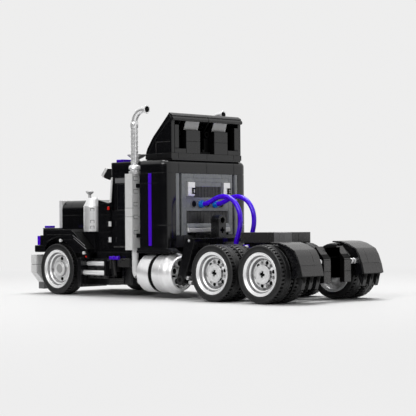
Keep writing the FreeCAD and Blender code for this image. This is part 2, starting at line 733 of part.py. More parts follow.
# Cab with its doors
def build_cab():
    floor = box("cab_floor", ("sleeper_front_x", "cowl_front_x"), ("-cab_half", "cab_half"),
            ("cab_low", "cab_low + wall"))
    rear = box("cab_rear", ("sleeper_front_x", "sleeper_front_x + wall"), ("-cab_half", "cab_half"),
               ("cab_low", "cab_roof_low"))
    side = box("cab_side", ("sleeper_front_x", "door_back_x - door_swing_gap"), ("cab_half - wall", "cab_half"),
               ("cab_low", "cab_roof_low"))
    cowl_side = box("cowl_side", ("door_front_x + panel_fit", "cowl_front_x"), ("cab_half - wall", "cab_half"),
                    ("cab_low", "cowl_z"))
    firewall = box("firewall", ("cowl_front_x - wall", "cowl_front_x"), ("-cab_half", "cab_half"),
            ("cab_low", "cowl_z"))
    scuttle = prism("scuttle", "xz", [("door_front_x + panel_fit", "cowl_z - wall"),
            ("cowl_front_x", "cowl_z - wall"), ("cowl_front_x", "hood_high"), ("64.8", "cowl_z"),
            ("door_front_x + panel_fit", "cowl_z")], "-cab_half", "cab_half")
    post = box("front_post", ("door_front_x - door_post", "door_front_x"), ("cab_half - wall", "cab_half"),
               ("door_high + panel_fit", "cab_roof_low"))
    pillar = prism("pillar", "xz", [("59.6", "cowl_z"), ("62.2", "cowl_z"), ("60", "cab_roof_low"),
            ("57.4", "cab_roof_low")], "cab_half - wall", "cab_half")
    header = box("cab_header", ("sleeper_front_x", "60"), ("cab_half - wall", "cab_half"),
                 ("door_high + panel_fit", "cab_roof_low"))
    half = fuse("cab_half_shell", side, cowl_side, post, pillar, header)
    keep(fuse("cab_shell", floor, rear, firewall, scuttle, half, mirror("cab_half_mirror", half)), "cab_shell")
    roof = box("roof_block", ("sleeper_front_x", "cab_front_x"), ("-cab_half", "cab_half"),
               ("cab_roof_low", "cab_roof_high"))
    front = value("cab_front_x")
    roof = rounded("roof_round", roof, "roof_corner", lambda e: along(e, "z") and near(e.BoundBox.XMin, front))
    visor = prism("visor", "xz", [("cab_front_x - 1", "104.4"), ("66.8", "104.4"), ("71.3", "99"),
            ("70.4", "97.5"), ("64.2", "95.7"), ("62.9", "96.2"), ("62.6", "cab_roof_low"),
            ("cab_front_x - 1", "cab_roof_low")], "-cab_half + 2", "cab_half - 2")
    keep(fuse("cab_roof", roof, visor), "cab_roof")
    keep(prism("visor_plate", "xz", [("69.5", "105.4"), ("74.3", "99.7"), ("72.1", "98.04"), ("66.8", "104.4")],
               "-cab_half + 2", "cab_half - 2"), "visor_plate")
    dish = upright("dish_turned", [(0, "cab_roof_high"), (2.4, "cab_roof_high"), (2.4, "cab_roof_high + 1.6"),
                                   (7.4, "cab_roof_high + 4.8"), (7.8, "cab_roof_high + 6.4"),
                                   (6.6, "cab_roof_high + 6.4"), (0, "cab_roof_high + 3.6")], "42", "28")
    keep(both("roof_dish_pair", dish), "roof_dishes")
    screen = prism("screen", "xz", [("60.4", "98.6"), ("65.2", "cowl_z + 0.7"), ("66.4", "cowl_z + 0.9"),
                                    ("61.6", "98.9")], "-cab_half + 4.4", "cab_half - 4.4")
    keep(screen, "windscreen")


def build_door():
    panel = box("door_panel", ("door_back_x", "door_front_x"), ("cab_half - wall + 0.2", "cab_half"),
            ("door_low", "belt_z"))
    rear = box("door_rear", ("door_back_x", "door_back_x + door_post"), ("cab_half - wall + 0.2", "cab_half"),
               ("belt_z", "door_high"))
    top = box("door_top", ("door_back_x", "56.6"), ("cab_half - wall + 0.2", "cab_half"),
              ("door_high - door_post", "door_high"))
    front = box("door_front", ("53.6", "56.6"), ("cab_half - wall + 0.2", "cab_half"), ("belt_z", "door_high"))
    knuckles = []
    for name, low in (("low", "44"), ("high", "57")):
        leaf = box("door_leaf_" + name, ("hinge_x - 3.2", "hinge_x - 1.3"), ("cab_half", "hinge_y + 0.6"),
                (low, low + " + 4.4"))
        barrel = rod("door_barrel_" + name, "z", ("hinge_x", "hinge_y", low), "4.4", "hinge_radius + 0.3")
        bore = rod("door_bore_" + name, "z", ("hinge_x", "hinge_y", low + " - 1"), "6.4", "0.8 + running_fit")
        knuckles.append(cut("door_knuckle_" + name, fuse("door_hinge_" + name, leaf, barrel), bore))
    body = fuse("door_body", panel, rear, top, front, *knuckles)
    pair("door", body)
    glass = box("door_pane", ("door_back_x + door_post", "53.6"), ("cab_half - 1.6", "cab_half - 0.6"),
            ("belt_z", "door_high - door_post"))
    pair("door_glass", glass)


def build_door_pins():
    pins = []
    for name, low in (("low", "44"), ("high", "57")):
        pin = rod("hinge_pin_" + name, "z", ("hinge_x", "hinge_y", low + " - 1.6"), "7.6", "0.8")
        foot = box("hinge_foot_" + name, ("hinge_x - 0.9", "hinge_x + 2.4"), ("cab_half", "hinge_y + 0.9"),
                   (low + " - 1.6", low + " - 0.2"))
        head = box("hinge_head_" + name, ("hinge_x - 0.9", "hinge_x + 2.4"), ("cab_half", "hinge_y + 0.9"),
                   (low + " + 4.6", low + " + 6"))
        pins.append(fuse("hinge_set_" + name, pin, foot, head))
    keep(both("door_hinges", group("door_hinge_sets", *pins)), "door_hinges")


# Bonnet, grille, fenders and bumper
def build_hood():
    outer = box("hood_block", ("cowl_front_x", "hood_front_x"), ("-hood_half", "hood_half"),
            ("hood_low", "hood_high"))
    doc.recompute()
    high = value("hood_high")
    half = value("hood_half")
    outer = rounded("hood_round", outer, "hood_crown", lambda e: along(e, "x") and near(e.BoundBox.ZMin,
            high) and near(abs(e.BoundBox.YMin), half))
    room = box("hood_room", ("cowl_front_x + wall", "hood_front_x - wall"),
            ("-hood_half + wall", "hood_half - wall"), ("hood_low - 1", "hood_high - hood_crown + 1"))
    keep(cut("hood_cut", outer, room), "hood")


def build_grille():
    frame = box("grille_frame", ("hood_front_x", "hood_front_x + grille_step"), ("-grille_half", "grille_half"),
                ("hood_low", "hood_high + 0.2"))
    shell = box("grille_shell", ("hood_front_x + grille_step", "hood_front_x + 2 * grille_step"),
                ("-shell_half", "shell_half"), ("hood_low", "shell_high"))
    slots = []
    for i in range(-5, 6):
        slots.append(box("grille_slot_%d" % (i + 5), ("hood_front_x + 1", "hood_front_x + 2 * grille_step + 1"),
                         ("%d * 4 - 1" % i, "%d * 4 + 1" % i), ("hood_low + 3", "shell_high - 3")))
    keep(cut("grille_cut", fuse("grille_body", frame, shell), *slots), "radiator_grille")
    dish = upright("ornament_turned", [(0, "hood_high"), (3, "hood_high"), (3, "hood_high + 1.4"),
            (1.3, "hood_high + 2"), (1.3, "hood_high + 6.2"), (3.4, "hood_high + 7.4"),
            (3.4, "hood_high + 8.6"), (0, "hood_high + 8.6")], "hood_front_x - 4.4", "0")
    keep(dish, "hood_ornament")


def build_fender():
    outer = prism("fender_outer", "xz", [("fender_rear_x", "fender_low"), ("fender_rear_x", "37.8"),
            ("fender_rear_x + 15.7", "52"), ("fender_rear_x + 20.2", "fender_top"),
            ("front_axle_x + 18", "fender_top"), ("front_axle_x + 18", "49.5"), ("fender_front_x", "49.5"),
            ("fender_front_x", "41"), ("fender_lip_x", "41"), ("fender_lip_x", "fender_low")],
            "fender_half - stud", "fender_half")
    inner = prism("fender_inner", "xz", [("cowl_front_x", "fender_low"), ("cowl_front_x", "fender_deck"),
            ("fender_rear_x + 20.2", "fender_deck"), ("fender_rear_x + 20.2", "fender_top"),
            ("front_axle_x + 18", "fender_top"), ("front_axle_x + 18", "49.5"), ("fender_front_x", "49.5"),
            ("fender_front_x", "41"), ("fender_lip_x", "41"), ("fender_lip_x", "fender_low")], "fender_inside",
            "fender_half - stud")
    apron = box("fender_apron", ("cowl_front_x", "hood_front_x"), ("rail_outside - 4", "fender_inside"),
                ("fender_deck - wall", "fender_deck"))
    posts = []
    for name, x in (("rear", "fender_rear_x + 3.2"), ("front", "front_axle_x + 13")):
        posts.append(box("fender_post_" + name, (x, x + " + stud"), ("rail_outside - 4", "rail_outside"),
                         ("rail_high", "fender_deck - wall")))
    body = fuse("fender_body", outer, inner, apron, *posts)
    arch = rod("fender_arch", "y", ("front_axle_x", "fender_inside + 4", "tyre_radius"), "fender_half",
            "arch_radius")
    pair("front_fender", cut("fender_cut", body, arch))
    light = box("light_front", ("fender_front_x", "fender_front_x + 3.6"),
            ("fender_half - stud", "fender_half"), ("41.6", "49.3"))
    tile = box("light_tile", ("front_axle_x + 7", "front_axle_x + 17"), ("fender_half - 12", "fender_half - 4"),
            ("fender_top", "fender_top + 2.4"))
    roof_tile = box("light_roof", ("50", "58"), ("20", "36"), ("cab_roof_high", "cab_roof_high + 2.4"))
    keep(both("lights", group("light_set", light, tile, roof_tile)), "marker_lights")


def build_bumper():
    far = "(fender_half - 8)"
    near_y = "(fender_half - 18)"
    points = [("-fender_half", "32.9"), ("-fender_half", "18.6"), ("-" + far, "10"), ("-" + far, "3.8"),
              ("-" + near_y, "3.8"), ("-" + near_y, "10"), (near_y, "10"), (near_y, "3.8"), (far, "3.8"),
              (far, "10"), ("fender_half", "18.6"),
              ("fender_half", "32.9")]
    keep(prism("bumper", "yz", points, "bumper_back_x", "front_end_x"), "front_bumper")


def build_air_cleaner():
    body = upright("cleaner_turned", [(0, "fender_deck"), ("cleaner_radius", "fender_deck"),
                                      ("cleaner_radius", "cleaner_high"), ("cleaner_radius / 2", "cleaner_cap"),
                                      (0, "cleaner_cap")], "cleaner_x", "cleaner_y")
    keep(both("cleaner_pair", body), "air_cleaners")


# Stacks and tanks
def build_stack():
    half = "stud / 2"
    shield = box("shield", ("shield_x - " + half, "shield_x + " + half),
            ("shield_y - " + half, "shield_y + " + half), ("shield_low", "shield_high"))
    clips = [shield]
    for name, low in (("low", "48"), ("high", "88")):
        clips.append(box("shield_clip_" + name, ("sleeper_front_x", "shield_x"), ("cab_half + 1", "shield_y"),
                (low, low + " + plate")))
    keep(both("shield_pair", fuse("shield_body", *clips)), "stack_shields")
    points = [(0, "shield_high"), (4.6, "shield_high"), (4.6, "shield_high + 3"), (3.4, "shield_high + 3.6"),
              (4.4, "shield_high + 4.2"), (4.4, "shield_high + 7"), ("riser_radius", "shield_high + 7.2")]
    for i in range(8):
        low = "shield_high + 7.2 + riser_pitch * (%d + 3 / 7)" % i
        high = low + " + riser_pitch * 1.3 / 4.2"
        points += [("riser_radius", low), (3.7, low), (3.7, high), ("riser_radius", high)]
    points += [("riser_radius", "riser_high"), (0, "riser_high")]
    riser = upright("riser", points, "pipe_x", "pipe_y")
    tip = pipe_bend("stack_tip", value("pipe_x"), value("pipe_y"), value("riser_high"), 1, value("tip_bend"),
            value("tip_radius"))
    keep(both("riser_pair", fuse("riser_body", riser, tip)), "stack_risers")
    low_bend = 5.0
    down = rod("down_pipe", "z", ("pipe_x", "pipe_y", "tank_inlet_z + %s" % low_bend),
               "shield_low - tank_inlet_z - %s" % low_bend, "pipe_radius")
    elbow = pipe_bend("down_elbow", value("pipe_x"), value("pipe_y"), value("tank_inlet_z") + low_bend, -1,
            low_bend, value("pipe_radius"))
    inlet = rod("down_inlet", "x", ("tank_front_x", "pipe_y", "tank_inlet_z"),
            "pipe_x - %s - tank_front_x" % low_bend, "pipe_radius")
    keep(both("pipe_pair", fuse("down_body", down, elbow, inlet)), "stack_pipes")


def pipe_bend(name, x, y, z, up, bend, radius):
    """A quarter bend from a vertical pipe towards the rear, upwards or downwards."""
    item = fresh("Part::Feature", name)
    circle = Part.Wire(Part.makeCircle(radius, FreeCAD.Vector(x, y, z), FreeCAD.Vector(0, 0, 1)))
    face = Part.Face(circle)
    axis = FreeCAD.Vector(0, -1, 0) if up > 0 else FreeCAD.Vector(0, 1, 0)
    item.Shape = face.revolve(FreeCAD.Vector(x - bend, y, z), axis, 90)
    return item


def build_tank():
    """A barrel with a band groove, a stepped rear rim and six tubes in its dished end."""
    barrel = "tank_radius - tank_step"
    groove = "tank_radius - tank_step - 1.2"
    front = (("0", "3.4"), ("0.6", "2.8"), ("2.4", "2.6"), ("2.7", "1.2"), ("3.2", "tank_step"))
    rear = (("9.2", "tank_step"), ("8.4", "0"), ("6.8", "0"), ("4.6", "1"), ("4", "1.6"), ("1", "2.4"),
            ("0", "3.2"), ("0", "4.2"), ("tank_dish", "4.8"))
    points = [("tank_front_x", 0)]
    points += [("tank_front_x - " + along_x, "tank_radius - " + less) for along_x, less in front]
    points += [("band_x + band_wide", barrel), ("band_x + band_wide", groove), ("band_x", groove),
            ("band_x", barrel)]
    points += [("tank_back_x + " + along_x, "tank_radius - " + less) for along_x, less in rear]
    points += [("tank_back_x + tank_dish", 0)]
    body = spun("tank_body", "xz", points, "H_Axis", (0, "tank_y", "tank_z"))
    tubes = [body, rod("tank_hub", "x", ("tank_back_x + 1", "tank_y", "tank_z"), "tank_dish", "4.2")]
    bores = []
    for i in range(6):
        turn = "%d" % (60 * i + 14)
        place = ("tank_y + tank_tube_circle * cos(%s)" % turn, "tank_z + tank_tube_circle * sin(%s)" % turn)
        tubes.append(rod("tank_tube_%d" % i, "x", ("tank_back_x + 0.8",) + place, "tank_dish",
                "pin_hole_radius + 0.8"))
        bores.append(rod("tank_bore_%d" % i, "x", ("tank_back_x",) + place, "tank_dish + 3",
                "pin_hole_radius - 0.2"))
    pair("fuel_tank", cut("tank_cut", fuse("tank_tubes", *tubes), *bores))
    band = rod("band_outer", "x", ("band_x", "tank_y", "tank_z"), "band_wide", "tank_radius - tank_step - 0.2")
    hole = rod("band_inner", "x", ("band_x - 1", "tank_y", "tank_z"), "band_wide + 2",
            groove + " + running_fit")
    keep(both("band_pair", cut("band_cut", band, hole)), "tank_bands")


# Steps and boxes below the cab
def build_steps():
    outer = box("step_panel", ("step_panel_x", "step_panel_x + 4"), ("side_inside", "fender_half"),
            ("7.3", "fender_low"))
    inner = box("step_wall", ("54", "step_panel_x"), ("side_inside", "side_inside + 14"), ("9", "31"))
    case = box("step_case", ("32", "46.5"), ("side_inside", "side_inside + 20"), ("24", "31"))
    drum = box("step_drum", ("34.9", "47.8"), ("side_inside", "side_inside + 14"), ("9.4", "24"))
    stack = box("step_stack", ("45.4", "62.5"), ("side_inside", "side_inside + 14"), ("9.4", "14.6"))
    sill = box("step_sill", ("34", "74"), ("side_inside", "side_inside + 18"), ("31", "cab_low"))
    tie = box("step_tie", ("40", "74"), ("rail_outside", "side_inside"), ("20", "rail_high"))
    flange = box("step_flange", ("step_panel_x", "step_panel_x + 4"), ("fender_half - 2", "fender_half + 2.8"),
            ("7.3", "31.2"))
    ear = box("step_ear", ("step_end_x - 2", "step_end_x"), ("side_inside + 14", "side_inside + 27"),
            ("16.8", "29"))
    pair("side_box", fuse("side_box_body", outer, inner, case, drum, stack, sill, tie, flange, ear))
    upper = rod("step_rod_upper", "x", ("step_end_x", "side_inside + 20.6", "26.5"),
            "step_panel_x - step_end_x", "step_radius")
    lower = rod("step_rod_lower", "x", ("step_end_x", "side_inside + 25", "19.2"), "step_panel_x - step_end_x",
            "step_radius")
    keep(both("step_rods", group("step_rod_set", upper, lower)), "step_rods")


# Rear deck, guards and tail
def build_deck():
    slab = box("deck_slab", ("deck_back_x", "deck_front_x"), ("-deck_half", "deck_half"),
            ("deck_low", "deck_high"))
    doc.recompute()
    back = value("deck_back_x")
    slab = rounded("deck_round", slab, "deck_corner", lambda e: along(e, "z") and near(e.BoundBox.XMin, back))
    foot = box("deck_foot", ("deck_back_x + 9", "deck_front_x - 4"), ("-rail_outside", "rail_outside"),
            ("rail_high", "rail_high + plate"))
    stem = box("deck_stem", ("deck_back_x + 14", "deck_front_x - 8"), ("-10", "10"),
            ("rail_high + plate", "deck_low"))
    keep(fuse("deck_body", slab, foot, stem), "hitch_deck")
    keep(box("corner_block", ("deck_back_x - 7", "deck_back_x - 7 + 10.5"), ("deck_half", "guard_inside - 0.3"),
             ("43", "deck_high")), "deck_corner_block")
    beam = box("beam_block", ("-27", "-19"), ("-4", "4"), ("rail_high", "61.4"))
    cap = rod("beam_cap", "x", ("-27", "0", "61.4"), "8", "4")
    holes = [rod("beam_hole_%d" % i, "x", ("-28", "0", "61.4 - %d * stud" % i), "10",
            "pin_hole_radius") for i in range(3)]
    keep(cut("beam_cut", fuse("beam_body", beam, cap), *holes), "upright_beam")


def build_guard():
    points = [("rear_end_x", "guard_low"), ("rear_end_x + 2", "27.7"), ("rear_axle_x - 28.1", "34.7"),
            ("rear_axle_x - 25.3", "39.2"), ("rear_axle_x - 17.7", "42.9"),
            ("rear_axle_x - 11.4", "guard_high + 0.2"), ("rear_axle_x - 3", "guard_high + 0.6"),
            ("rear_axle_x - 3", "guard_low")]
    shell = prism("guard_block", "xz", points, "guard_inside", "guard_outside")
    room = rod("guard_room", "y", ("rear_axle_x", "guard_inside - 1", "tyre_radius"),
            "guard_outside - guard_inside + 2", "guard_inner_radius")
    body = cut("guard_cut", shell, room)
    claws = [body]
    for i in range(3):
        y = "guard_inside + %d * stud" % i
        claws.append(prism("claw_%d" % i, "xz", [("rear_end_x + 0.7", "guard_low"),
                ("rear_end_x + 6.5", "guard_low"), ("rear_end_x + 6.1", "16"), ("rear_end_x + 3.1", "10.8"),
                ("rear_end_x + 1.5", "15.5")], y + " + 2.2", y + " + 5.8"))
    pair("mudguard", fuse("guard_body", *claws))


def build_tail():
    bar = prism("tail_bar", "xz", [("tail_face_x - 4", "14.5"), ("tail_face_x - 4", "32.6"),
            ("tail_face_x + 3.5", "41"), ("tail_face_x + 6.5", "38.6"), ("tail_face_x", "rail_high + 0.2"),
            ("tail_face_x", "14.5")], "8", "16")
    pin = rod("tail_pin", "y", ("tail_face_x - 2.1", "rail_inside", "30"), "guard_inside - rail_inside", "1.9")
    body = fuse("tail_bar_body", bar, pin)
    keep(both("tail_bars", body), "tail_bars")
    cross = box("cross_plate", ("-44", "-36"), ("-arm_outside", "arm_outside"), ("44.4", "44.4 + plate"))
    leg = box("cross_leg", ("-44", "-36"), ("-rail_outside", "-rail_inside"), ("rail_high", "44.4"))
    arm = prism("arm", "xz", [("-44", "47.6"), ("-36", "47.6"), ("-25.4", "14.6"), ("-28.8", "11.4"),
            ("-32.6", "13"), ("-44", "43")], "arm_inside", "arm_outside")
    keep(fuse("quarter_arms", cross, leg, mirror("cross_leg_mirror", leg), arm, mirror("arm_mirror", arm)),
            "quarter_arms")


# Hoses from the back panel to the frame, each a run of straights and tangent arcs
HOSE_POINTS = [(-15.0, 74.6), (-20.5, 75.3), (-29.0, 79.6), (-38.6, 80.6), (-47.4, 77.0), (-53.2, 69.4),
               (-54.6, 60.0), (-52.2, 50.8), (-49.0, 43.4), (-49.0, 37.0)]


def hose_path(points, y):
    """Straight runs joined by tangent arcs, each as large as its runs allow."""
    corners = [FreeCAD.Vector(x, y, z) for x, z in points]
    edges = []
    last = corners[0]
    radii = []
    for before, here, after in zip(corners, corners[1:], corners[2:]):
        back = (before - here)
        ahead = (after - here)
        run = 0.45 * min(back.Length, ahead.Length)
        back.normalize()
        ahead.normalize()
        turn = FreeCAD.Vector(-back.x, -back.y, -back.z).getAngle(ahead)
        radii.append(run / math.tan(turn / 2))
        start = here + back * run
        end = here + ahead * run
        middle_way = back + ahead
        middle_way.normalize()
        offset = radii[-1] / math.cos(turn / 2) - radii[-1]
        edges.append(Part.LineSegment(last, start).toShape())
        edges.append(Part.Arc(start, here + middle_way * offset, end).toShape())
        last = end
    edges.append(Part.LineSegment(last, corners[-1]).toShape())
    return Part.Wire(edges), radii


def build_hoses():
    for label, y in (("hose_left", value("hose_y")), ("hose_right", -value("hose_y"))):
        wire, radii = hose_path(HOSE_POINTS, y)
        radius = value("hose_radius")
        start = wire.Edges[0]
        direction = start.tangentAt(start.FirstParameter)
        section = Part.Wire(Part.makeCircle(radius, start.Vertexes[0].Point, direction))
        item = fresh("Part::Feature", label)
        item.Shape = wire.makePipeShell([section], True, False)
        keep(item, label)
        expected = 3.14159265 * radius ** 2 * wire.Length
        print(label, "length", round(wire.Length, 1), "arc radii", [round(r, 1) for r in radii],
              "volume ratio", round(item.Shape.Volume / expected, 4))
    plug = rod("plug", "x", ("-15", "hose_y", "pin_row_z"), "sleeper_back_x + panel_thick + 15",
            "pin_hole_radius - running_fit")
    flange = rod("plug_flange", "x", ("-13.4", "hose_y", "pin_row_z"), "sleeper_back_x + 13.4 - running_fit",
                 "pin_hole_radius + 0.7")
    keep(both("hose_plugs", fuse("plug_body", plug, flange)), "hose_plugs")
    socket = rod("socket", "z", ("hose_end_x", "hose_y", "rail_high"), "socket_high - rail_high",
            "hose_radius + 1.2")
    keep(both("hose_sockets", socket), "hose_sockets")


for build in (build_frame, build_front_wheel, build_front_axle, build_sleeper, build_back_panel,
        build_sleeper_trim, build_fairing, build_cab, build_door, build_door_pins, build_hood, build_grille,
        build_fender, build_bumper, build_air_cleaner, build_stack, build_tank, build_steps, build_deck,
        build_guard, build_tail, build_hoses):
    build()
build_dual("mid_axle", "mid_axle_x")
build_dual("rear_axle", "rear_axle_x")
doc.recompute()

os.makedirs("parts", exist_ok=True)
for item in doc.Objects:
    if "Invalid" in item.State or "Error" in item.State:
        raise RuntimeError("failed object " + item.Name)
for label, item in nodes.items():
    if item.Shape.isNull() or not item.Shape.isValid():
        raise RuntimeError("bad shape " + label)
for label, item in nodes.items():
    item.Shape.exportStep("parts/%s.step" % label)
    print(label, len(item.Shape.Solids), "solids", round(item.Shape.Volume / 1000, 2), "cm3")
print(len(nodes), "nodes")
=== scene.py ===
import bpy
import bmesh
import itertools
import math
from mathutils import Matrix, Vector


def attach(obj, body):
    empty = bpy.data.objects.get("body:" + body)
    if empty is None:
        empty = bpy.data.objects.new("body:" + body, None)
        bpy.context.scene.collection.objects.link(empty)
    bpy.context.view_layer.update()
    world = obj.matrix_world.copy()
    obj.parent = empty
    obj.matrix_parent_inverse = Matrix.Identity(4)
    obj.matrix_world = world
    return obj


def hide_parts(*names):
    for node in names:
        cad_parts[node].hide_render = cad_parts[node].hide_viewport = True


# Toy tractor unit of clip-together bricks. Sizes are in millimetres until a mesh is made, and +y is the truck's left.
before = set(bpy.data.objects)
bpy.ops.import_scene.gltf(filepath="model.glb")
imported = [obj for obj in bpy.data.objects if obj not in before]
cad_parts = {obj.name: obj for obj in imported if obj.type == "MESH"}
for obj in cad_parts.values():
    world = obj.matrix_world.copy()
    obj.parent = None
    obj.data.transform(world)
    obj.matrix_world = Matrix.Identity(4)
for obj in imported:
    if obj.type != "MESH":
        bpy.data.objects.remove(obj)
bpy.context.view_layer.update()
MM = 0.001
TRUCK = "truck"


# Shader nodes
def feed(tree, node, sockets):
    """Fills a node's sockets: an output is linked, and anything else is a constant."""
    for socket, item in sockets.items():
        if isinstance(item, bpy.types.NodeSocket):
            tree.links.new(item, node.inputs[socket])
        else:
            node.inputs[socket].default_value = item


def add_node(tree, kind, sockets, result, **settings):
    """Adds a node, fills its sockets and gives the output that is asked for."""
    node = tree.nodes.new("ShaderNode" + kind)
    for setting, value in settings.items():
        setattr(node, setting, value)
    feed(tree, node, sockets)
    return node.outputs[result]


def noise(tree, scale, detail=3.0, rough=0.5):
    place = add_node(tree, "TexCoord", {}, "Object")
    return add_node(tree, "TexNoise", {"Vector": place, "Scale": scale, "Detail": detail, "Roughness": rough}, "Fac")


def spread(tree, source, low, high, from_low=0.3, from_high=0.7, steps="LINEAR"):
    """Maps one range of a source onto another."""
    sockets = {"Value": source, "From Min": from_low, "From Max": from_high, "To Min": low, "To Max": high}
    return add_node(tree, "MapRange", sockets, "Result", interpolation_type=steps)


def ramp(tree, source, from_low, from_high, low=0.0, high=1.0):
    return spread(tree, source, low, high, from_low, from_high, "SMOOTHSTEP")


def mixed(tree, factor, first, second, kind="RGBA"):
    return add_node(tree, "Mix", {"Factor": factor, "A": first, "B": second}, "Result", data_type=kind)


def maths(tree, operation, first, second):
    return add_node(tree, "Math", {0: first, 1: second}, "Value", operation=operation)


def bump(tree, height, strength, distance, **below):
    return add_node(tree, "Bump", {"Height": height, "Strength": strength, "Distance": distance, **below}, "Normal")


def shade(colour, gain=1.0, lift=0.0):
    return (*[min(1.0, c * gain + lift) for c in colour], 1)


def new_material(name):
    material = bpy.data.materials.new(name)
    material.use_nodes = True
    return material, material.node_tree, material.node_tree.nodes["Principled BSDF"]


# Noise scale, detail and roughness of colour drift, handling smudges, moulding grain and uneven walls
DRIFT, SMUDGE, GRAIN, WAVE = (55.0, 4.0, 0.6), (160.0, 5.0, 0.65), (2600.0, 2.0), (90.0, 1.0)
GRAIN_HEIGHT = 0.00002
WAVE_HEIGHT = 0.00008


def plastic(name, colour, rough=0.16, vary=0.05, lift=1.25, fine=0.05, metallic=0.0, edge=0.5, wave=0.10, shine=0.5):
    """Moulded plastic: slight colour drift, handling smudges, faint moulding grain and brighter worn edges."""
    material, tree, shader = new_material(name)
    drift = spread(tree, noise(tree, *DRIFT), 0.0, 1.0)
    base = mixed(tree, drift, shade(colour), shade(colour, lift, 0.0006))
    worn = spread(tree, add_node(tree, "NewGeometry", {}, "Pointiness"), 0.0, edge, 0.52, 0.62)
    grain = bump(tree, noise(tree, *GRAIN), fine, GRAIN_HEIGHT)
    feed(tree, shader, {
        "Base Color": mixed(tree, worn, base, shade(colour, 1.9, 0.01)),
        "Roughness": spread(tree, noise(tree, *SMUDGE), rough - vary, rough + vary),
        "Normal": bump(tree, noise(tree, *WAVE), wave, WAVE_HEIGHT, Normal=grain),
        "Metallic": metallic, "Specular IOR Level": shine})
    return material


def rubber(name, colour, rough):
    """Soft rubber with a dusty bloom and a fine moulded grain."""
    material, tree, shader = new_material(name)
    dust = spread(tree, noise(tree, 70.0, 5.0, 0.6), 0.0, 1.0)
    feed(tree, shader, {
        "Base Color": mixed(tree, dust, shade(colour), shade(colour, 1.25, 0.002)),
        "Roughness": spread(tree, noise(tree, 240.0, 4.0), rough - 0.05, rough + 0.08),
        "Normal": bump(tree, noise(tree, 3200.0), 0.25, 0.00005)})
    return material


def clear(name, colour, rough, alpha):
    """Clear moulded plastic with faint scuffs, thin enough to see through."""
    material, tree, shader = new_material(name)
    tint = spread(tree, noise(tree, 60.0, 2.0), 0.0, 1.0)
    feed(tree, shader, {
        "Base Color": mixed(tree, tint, shade(colour), shade(colour, 1.08)),
        "Roughness": spread(tree, noise(tree, 300.0, 6.0, 0.7), rough, rough + 0.09),
        "Alpha": alpha, "IOR": 1.49})
    return material


# Materials: moulded plastics, some of them silvered or clear, and rubber
BLACK = plastic("black_plastic", (0.0026, 0.0026, 0.0034), 0.15, 0.04, 1.3, edge=0.35)
SATIN = plastic("satin_black_plastic", (0.0045, 0.0045, 0.005), 0.3, 0.06, 1.3, edge=0.4)
PIT = plastic("deep_black_plastic", (0.0015, 0.0015, 0.0016), 0.5, 0.06, 1.1, edge=0.0, shine=0.08)
DARK = plastic("dark_grey_plastic", (0.031, 0.03, 0.03), 0.27, 0.05, 1.12)
DARK2 = plastic("charcoal_plastic", (0.016, 0.0155, 0.0155), 0.3, 0.05, 1.15)
PALE = plastic("bluish_grey_plastic", (0.14, 0.14, 0.143), 0.3, 0.05, 1.08)
VENT = plastic("vent_grey_plastic", (0.036, 0.036, 0.037), 0.3, 0.05, 1.2)
PANEL = plastic("panel_grey_plastic", (0.205, 0.215, 0.222), 0.28, 0.05, 1.06)
LIGHT = plastic("light_grey_plastic", (0.68, 0.68, 0.675), 0.26, 0.05, 1.04)
WHITE = plastic("white_plastic", (0.76, 0.76, 0.76), 0.22, 0.04, 1.02)
PURPLE = plastic("purple_plastic", (0.06, 0.003, 0.52), 0.17, 0.04, 1.15)
HOSE = plastic("purple_tube", (0.072, 0.0006, 0.9), 0.24, 0.05, 1.15)
BLUE = plastic("blue_plastic", (0.0, 0.16, 0.62), 0.2, 0.04, 1.15)
RED = plastic("red_plastic", (0.75, 0.012, 0.004), 0.16, 0.03, 1.1)
SILVER = plastic("silvered_plastic", (0.95, 0.95, 0.955), 0.33, 0.02, 1.02, 0.0, 0.5, 0.0, 0.01)
CHROME = plastic("bright_silvered_plastic", (0.97, 0.97, 0.975), 0.22, 0.01, 1.0, 0.0, 0.5, 0.0, 0.0)
DRUM = plastic("brushed_silver_plastic", (0.93, 0.93, 0.935), 0.32, 0.02, 1.03, 0.0, 0.5, 0.0, 0.01)
STEEL = plastic("silver_bracket_plastic", (0.8, 0.8, 0.81), 0.36, 0.04, 1.03, 0.03, 0.9, 0.0, 0.03)
SLOPE = plastic("glossy_grey_plastic", (0.42, 0.42, 0.42), 0.2, 0.04, 1.1, edge=0.2)
# Painted shade: a darker copy of the silver for the steep walls of the wheels' dishes and the hubs' sides
SHADE_PAINTED_SILVER = plastic("shaded_silver_plastic", (0.36, 0.36, 0.365), 0.26, 0.02, 1.02, 0.0, 0.8, 0.0, 0.01)
TYRE = rubber("tyre_rubber", (0.005, 0.005, 0.0053), 0.42)
CLEAR = clear("clear_plastic", (0.86, 0.88, 0.89), 0.05, 0.5)
SMOKED = clear("smoked_plastic", (0.006, 0.006, 0.008), 0.06, 0.94)


# Shapes: each is a pair of vertices and faces, or six limits where it is a box
def polar(radius, angle, centre=(0.0, 0.0)):
    return (centre[0] + radius * math.cos(angle), centre[1] + radius * math.sin(angle))


def circle(radius, count, centre=(0.0, 0.0)):
    return [polar(radius, math.tau * i / count, centre) for i in range(count)]


def cross(reach, half, turn, centre=(0.0, 0.0)):
    """The outline of a cross, turned by some degrees."""
    return [polar(u, angle, polar(w, angle + math.pi / 2, centre))
            for angle in [math.radians(turn + quarter) for quarter in (0, 90, 180, 270)]
            for u, w in ((half, -half), (reach, -half), (reach, half))]


def spot(axis, station, u, w, centre=(0, 0, 0)):
    """The point at a station along an axis, with u and w for the other two axes in their order."""
    place = {"x": (station, u, w), "y": (u, station, w), "z": (u, w, station)}[axis]
    return tuple(a + b for a, b in zip(centre, place))


def box(x0, x1, y0, y1, z0, z1):
    verts = [(x, y, z) for x in (x0, x1) for y in (y0, y1) for z in (z0, z1)]
    return verts, [(0, 1, 3, 2), (4, 6, 7, 5), (0, 4, 5, 1), (2, 3, 7, 6), (0, 2, 6, 4), (1, 5, 7, 3)]


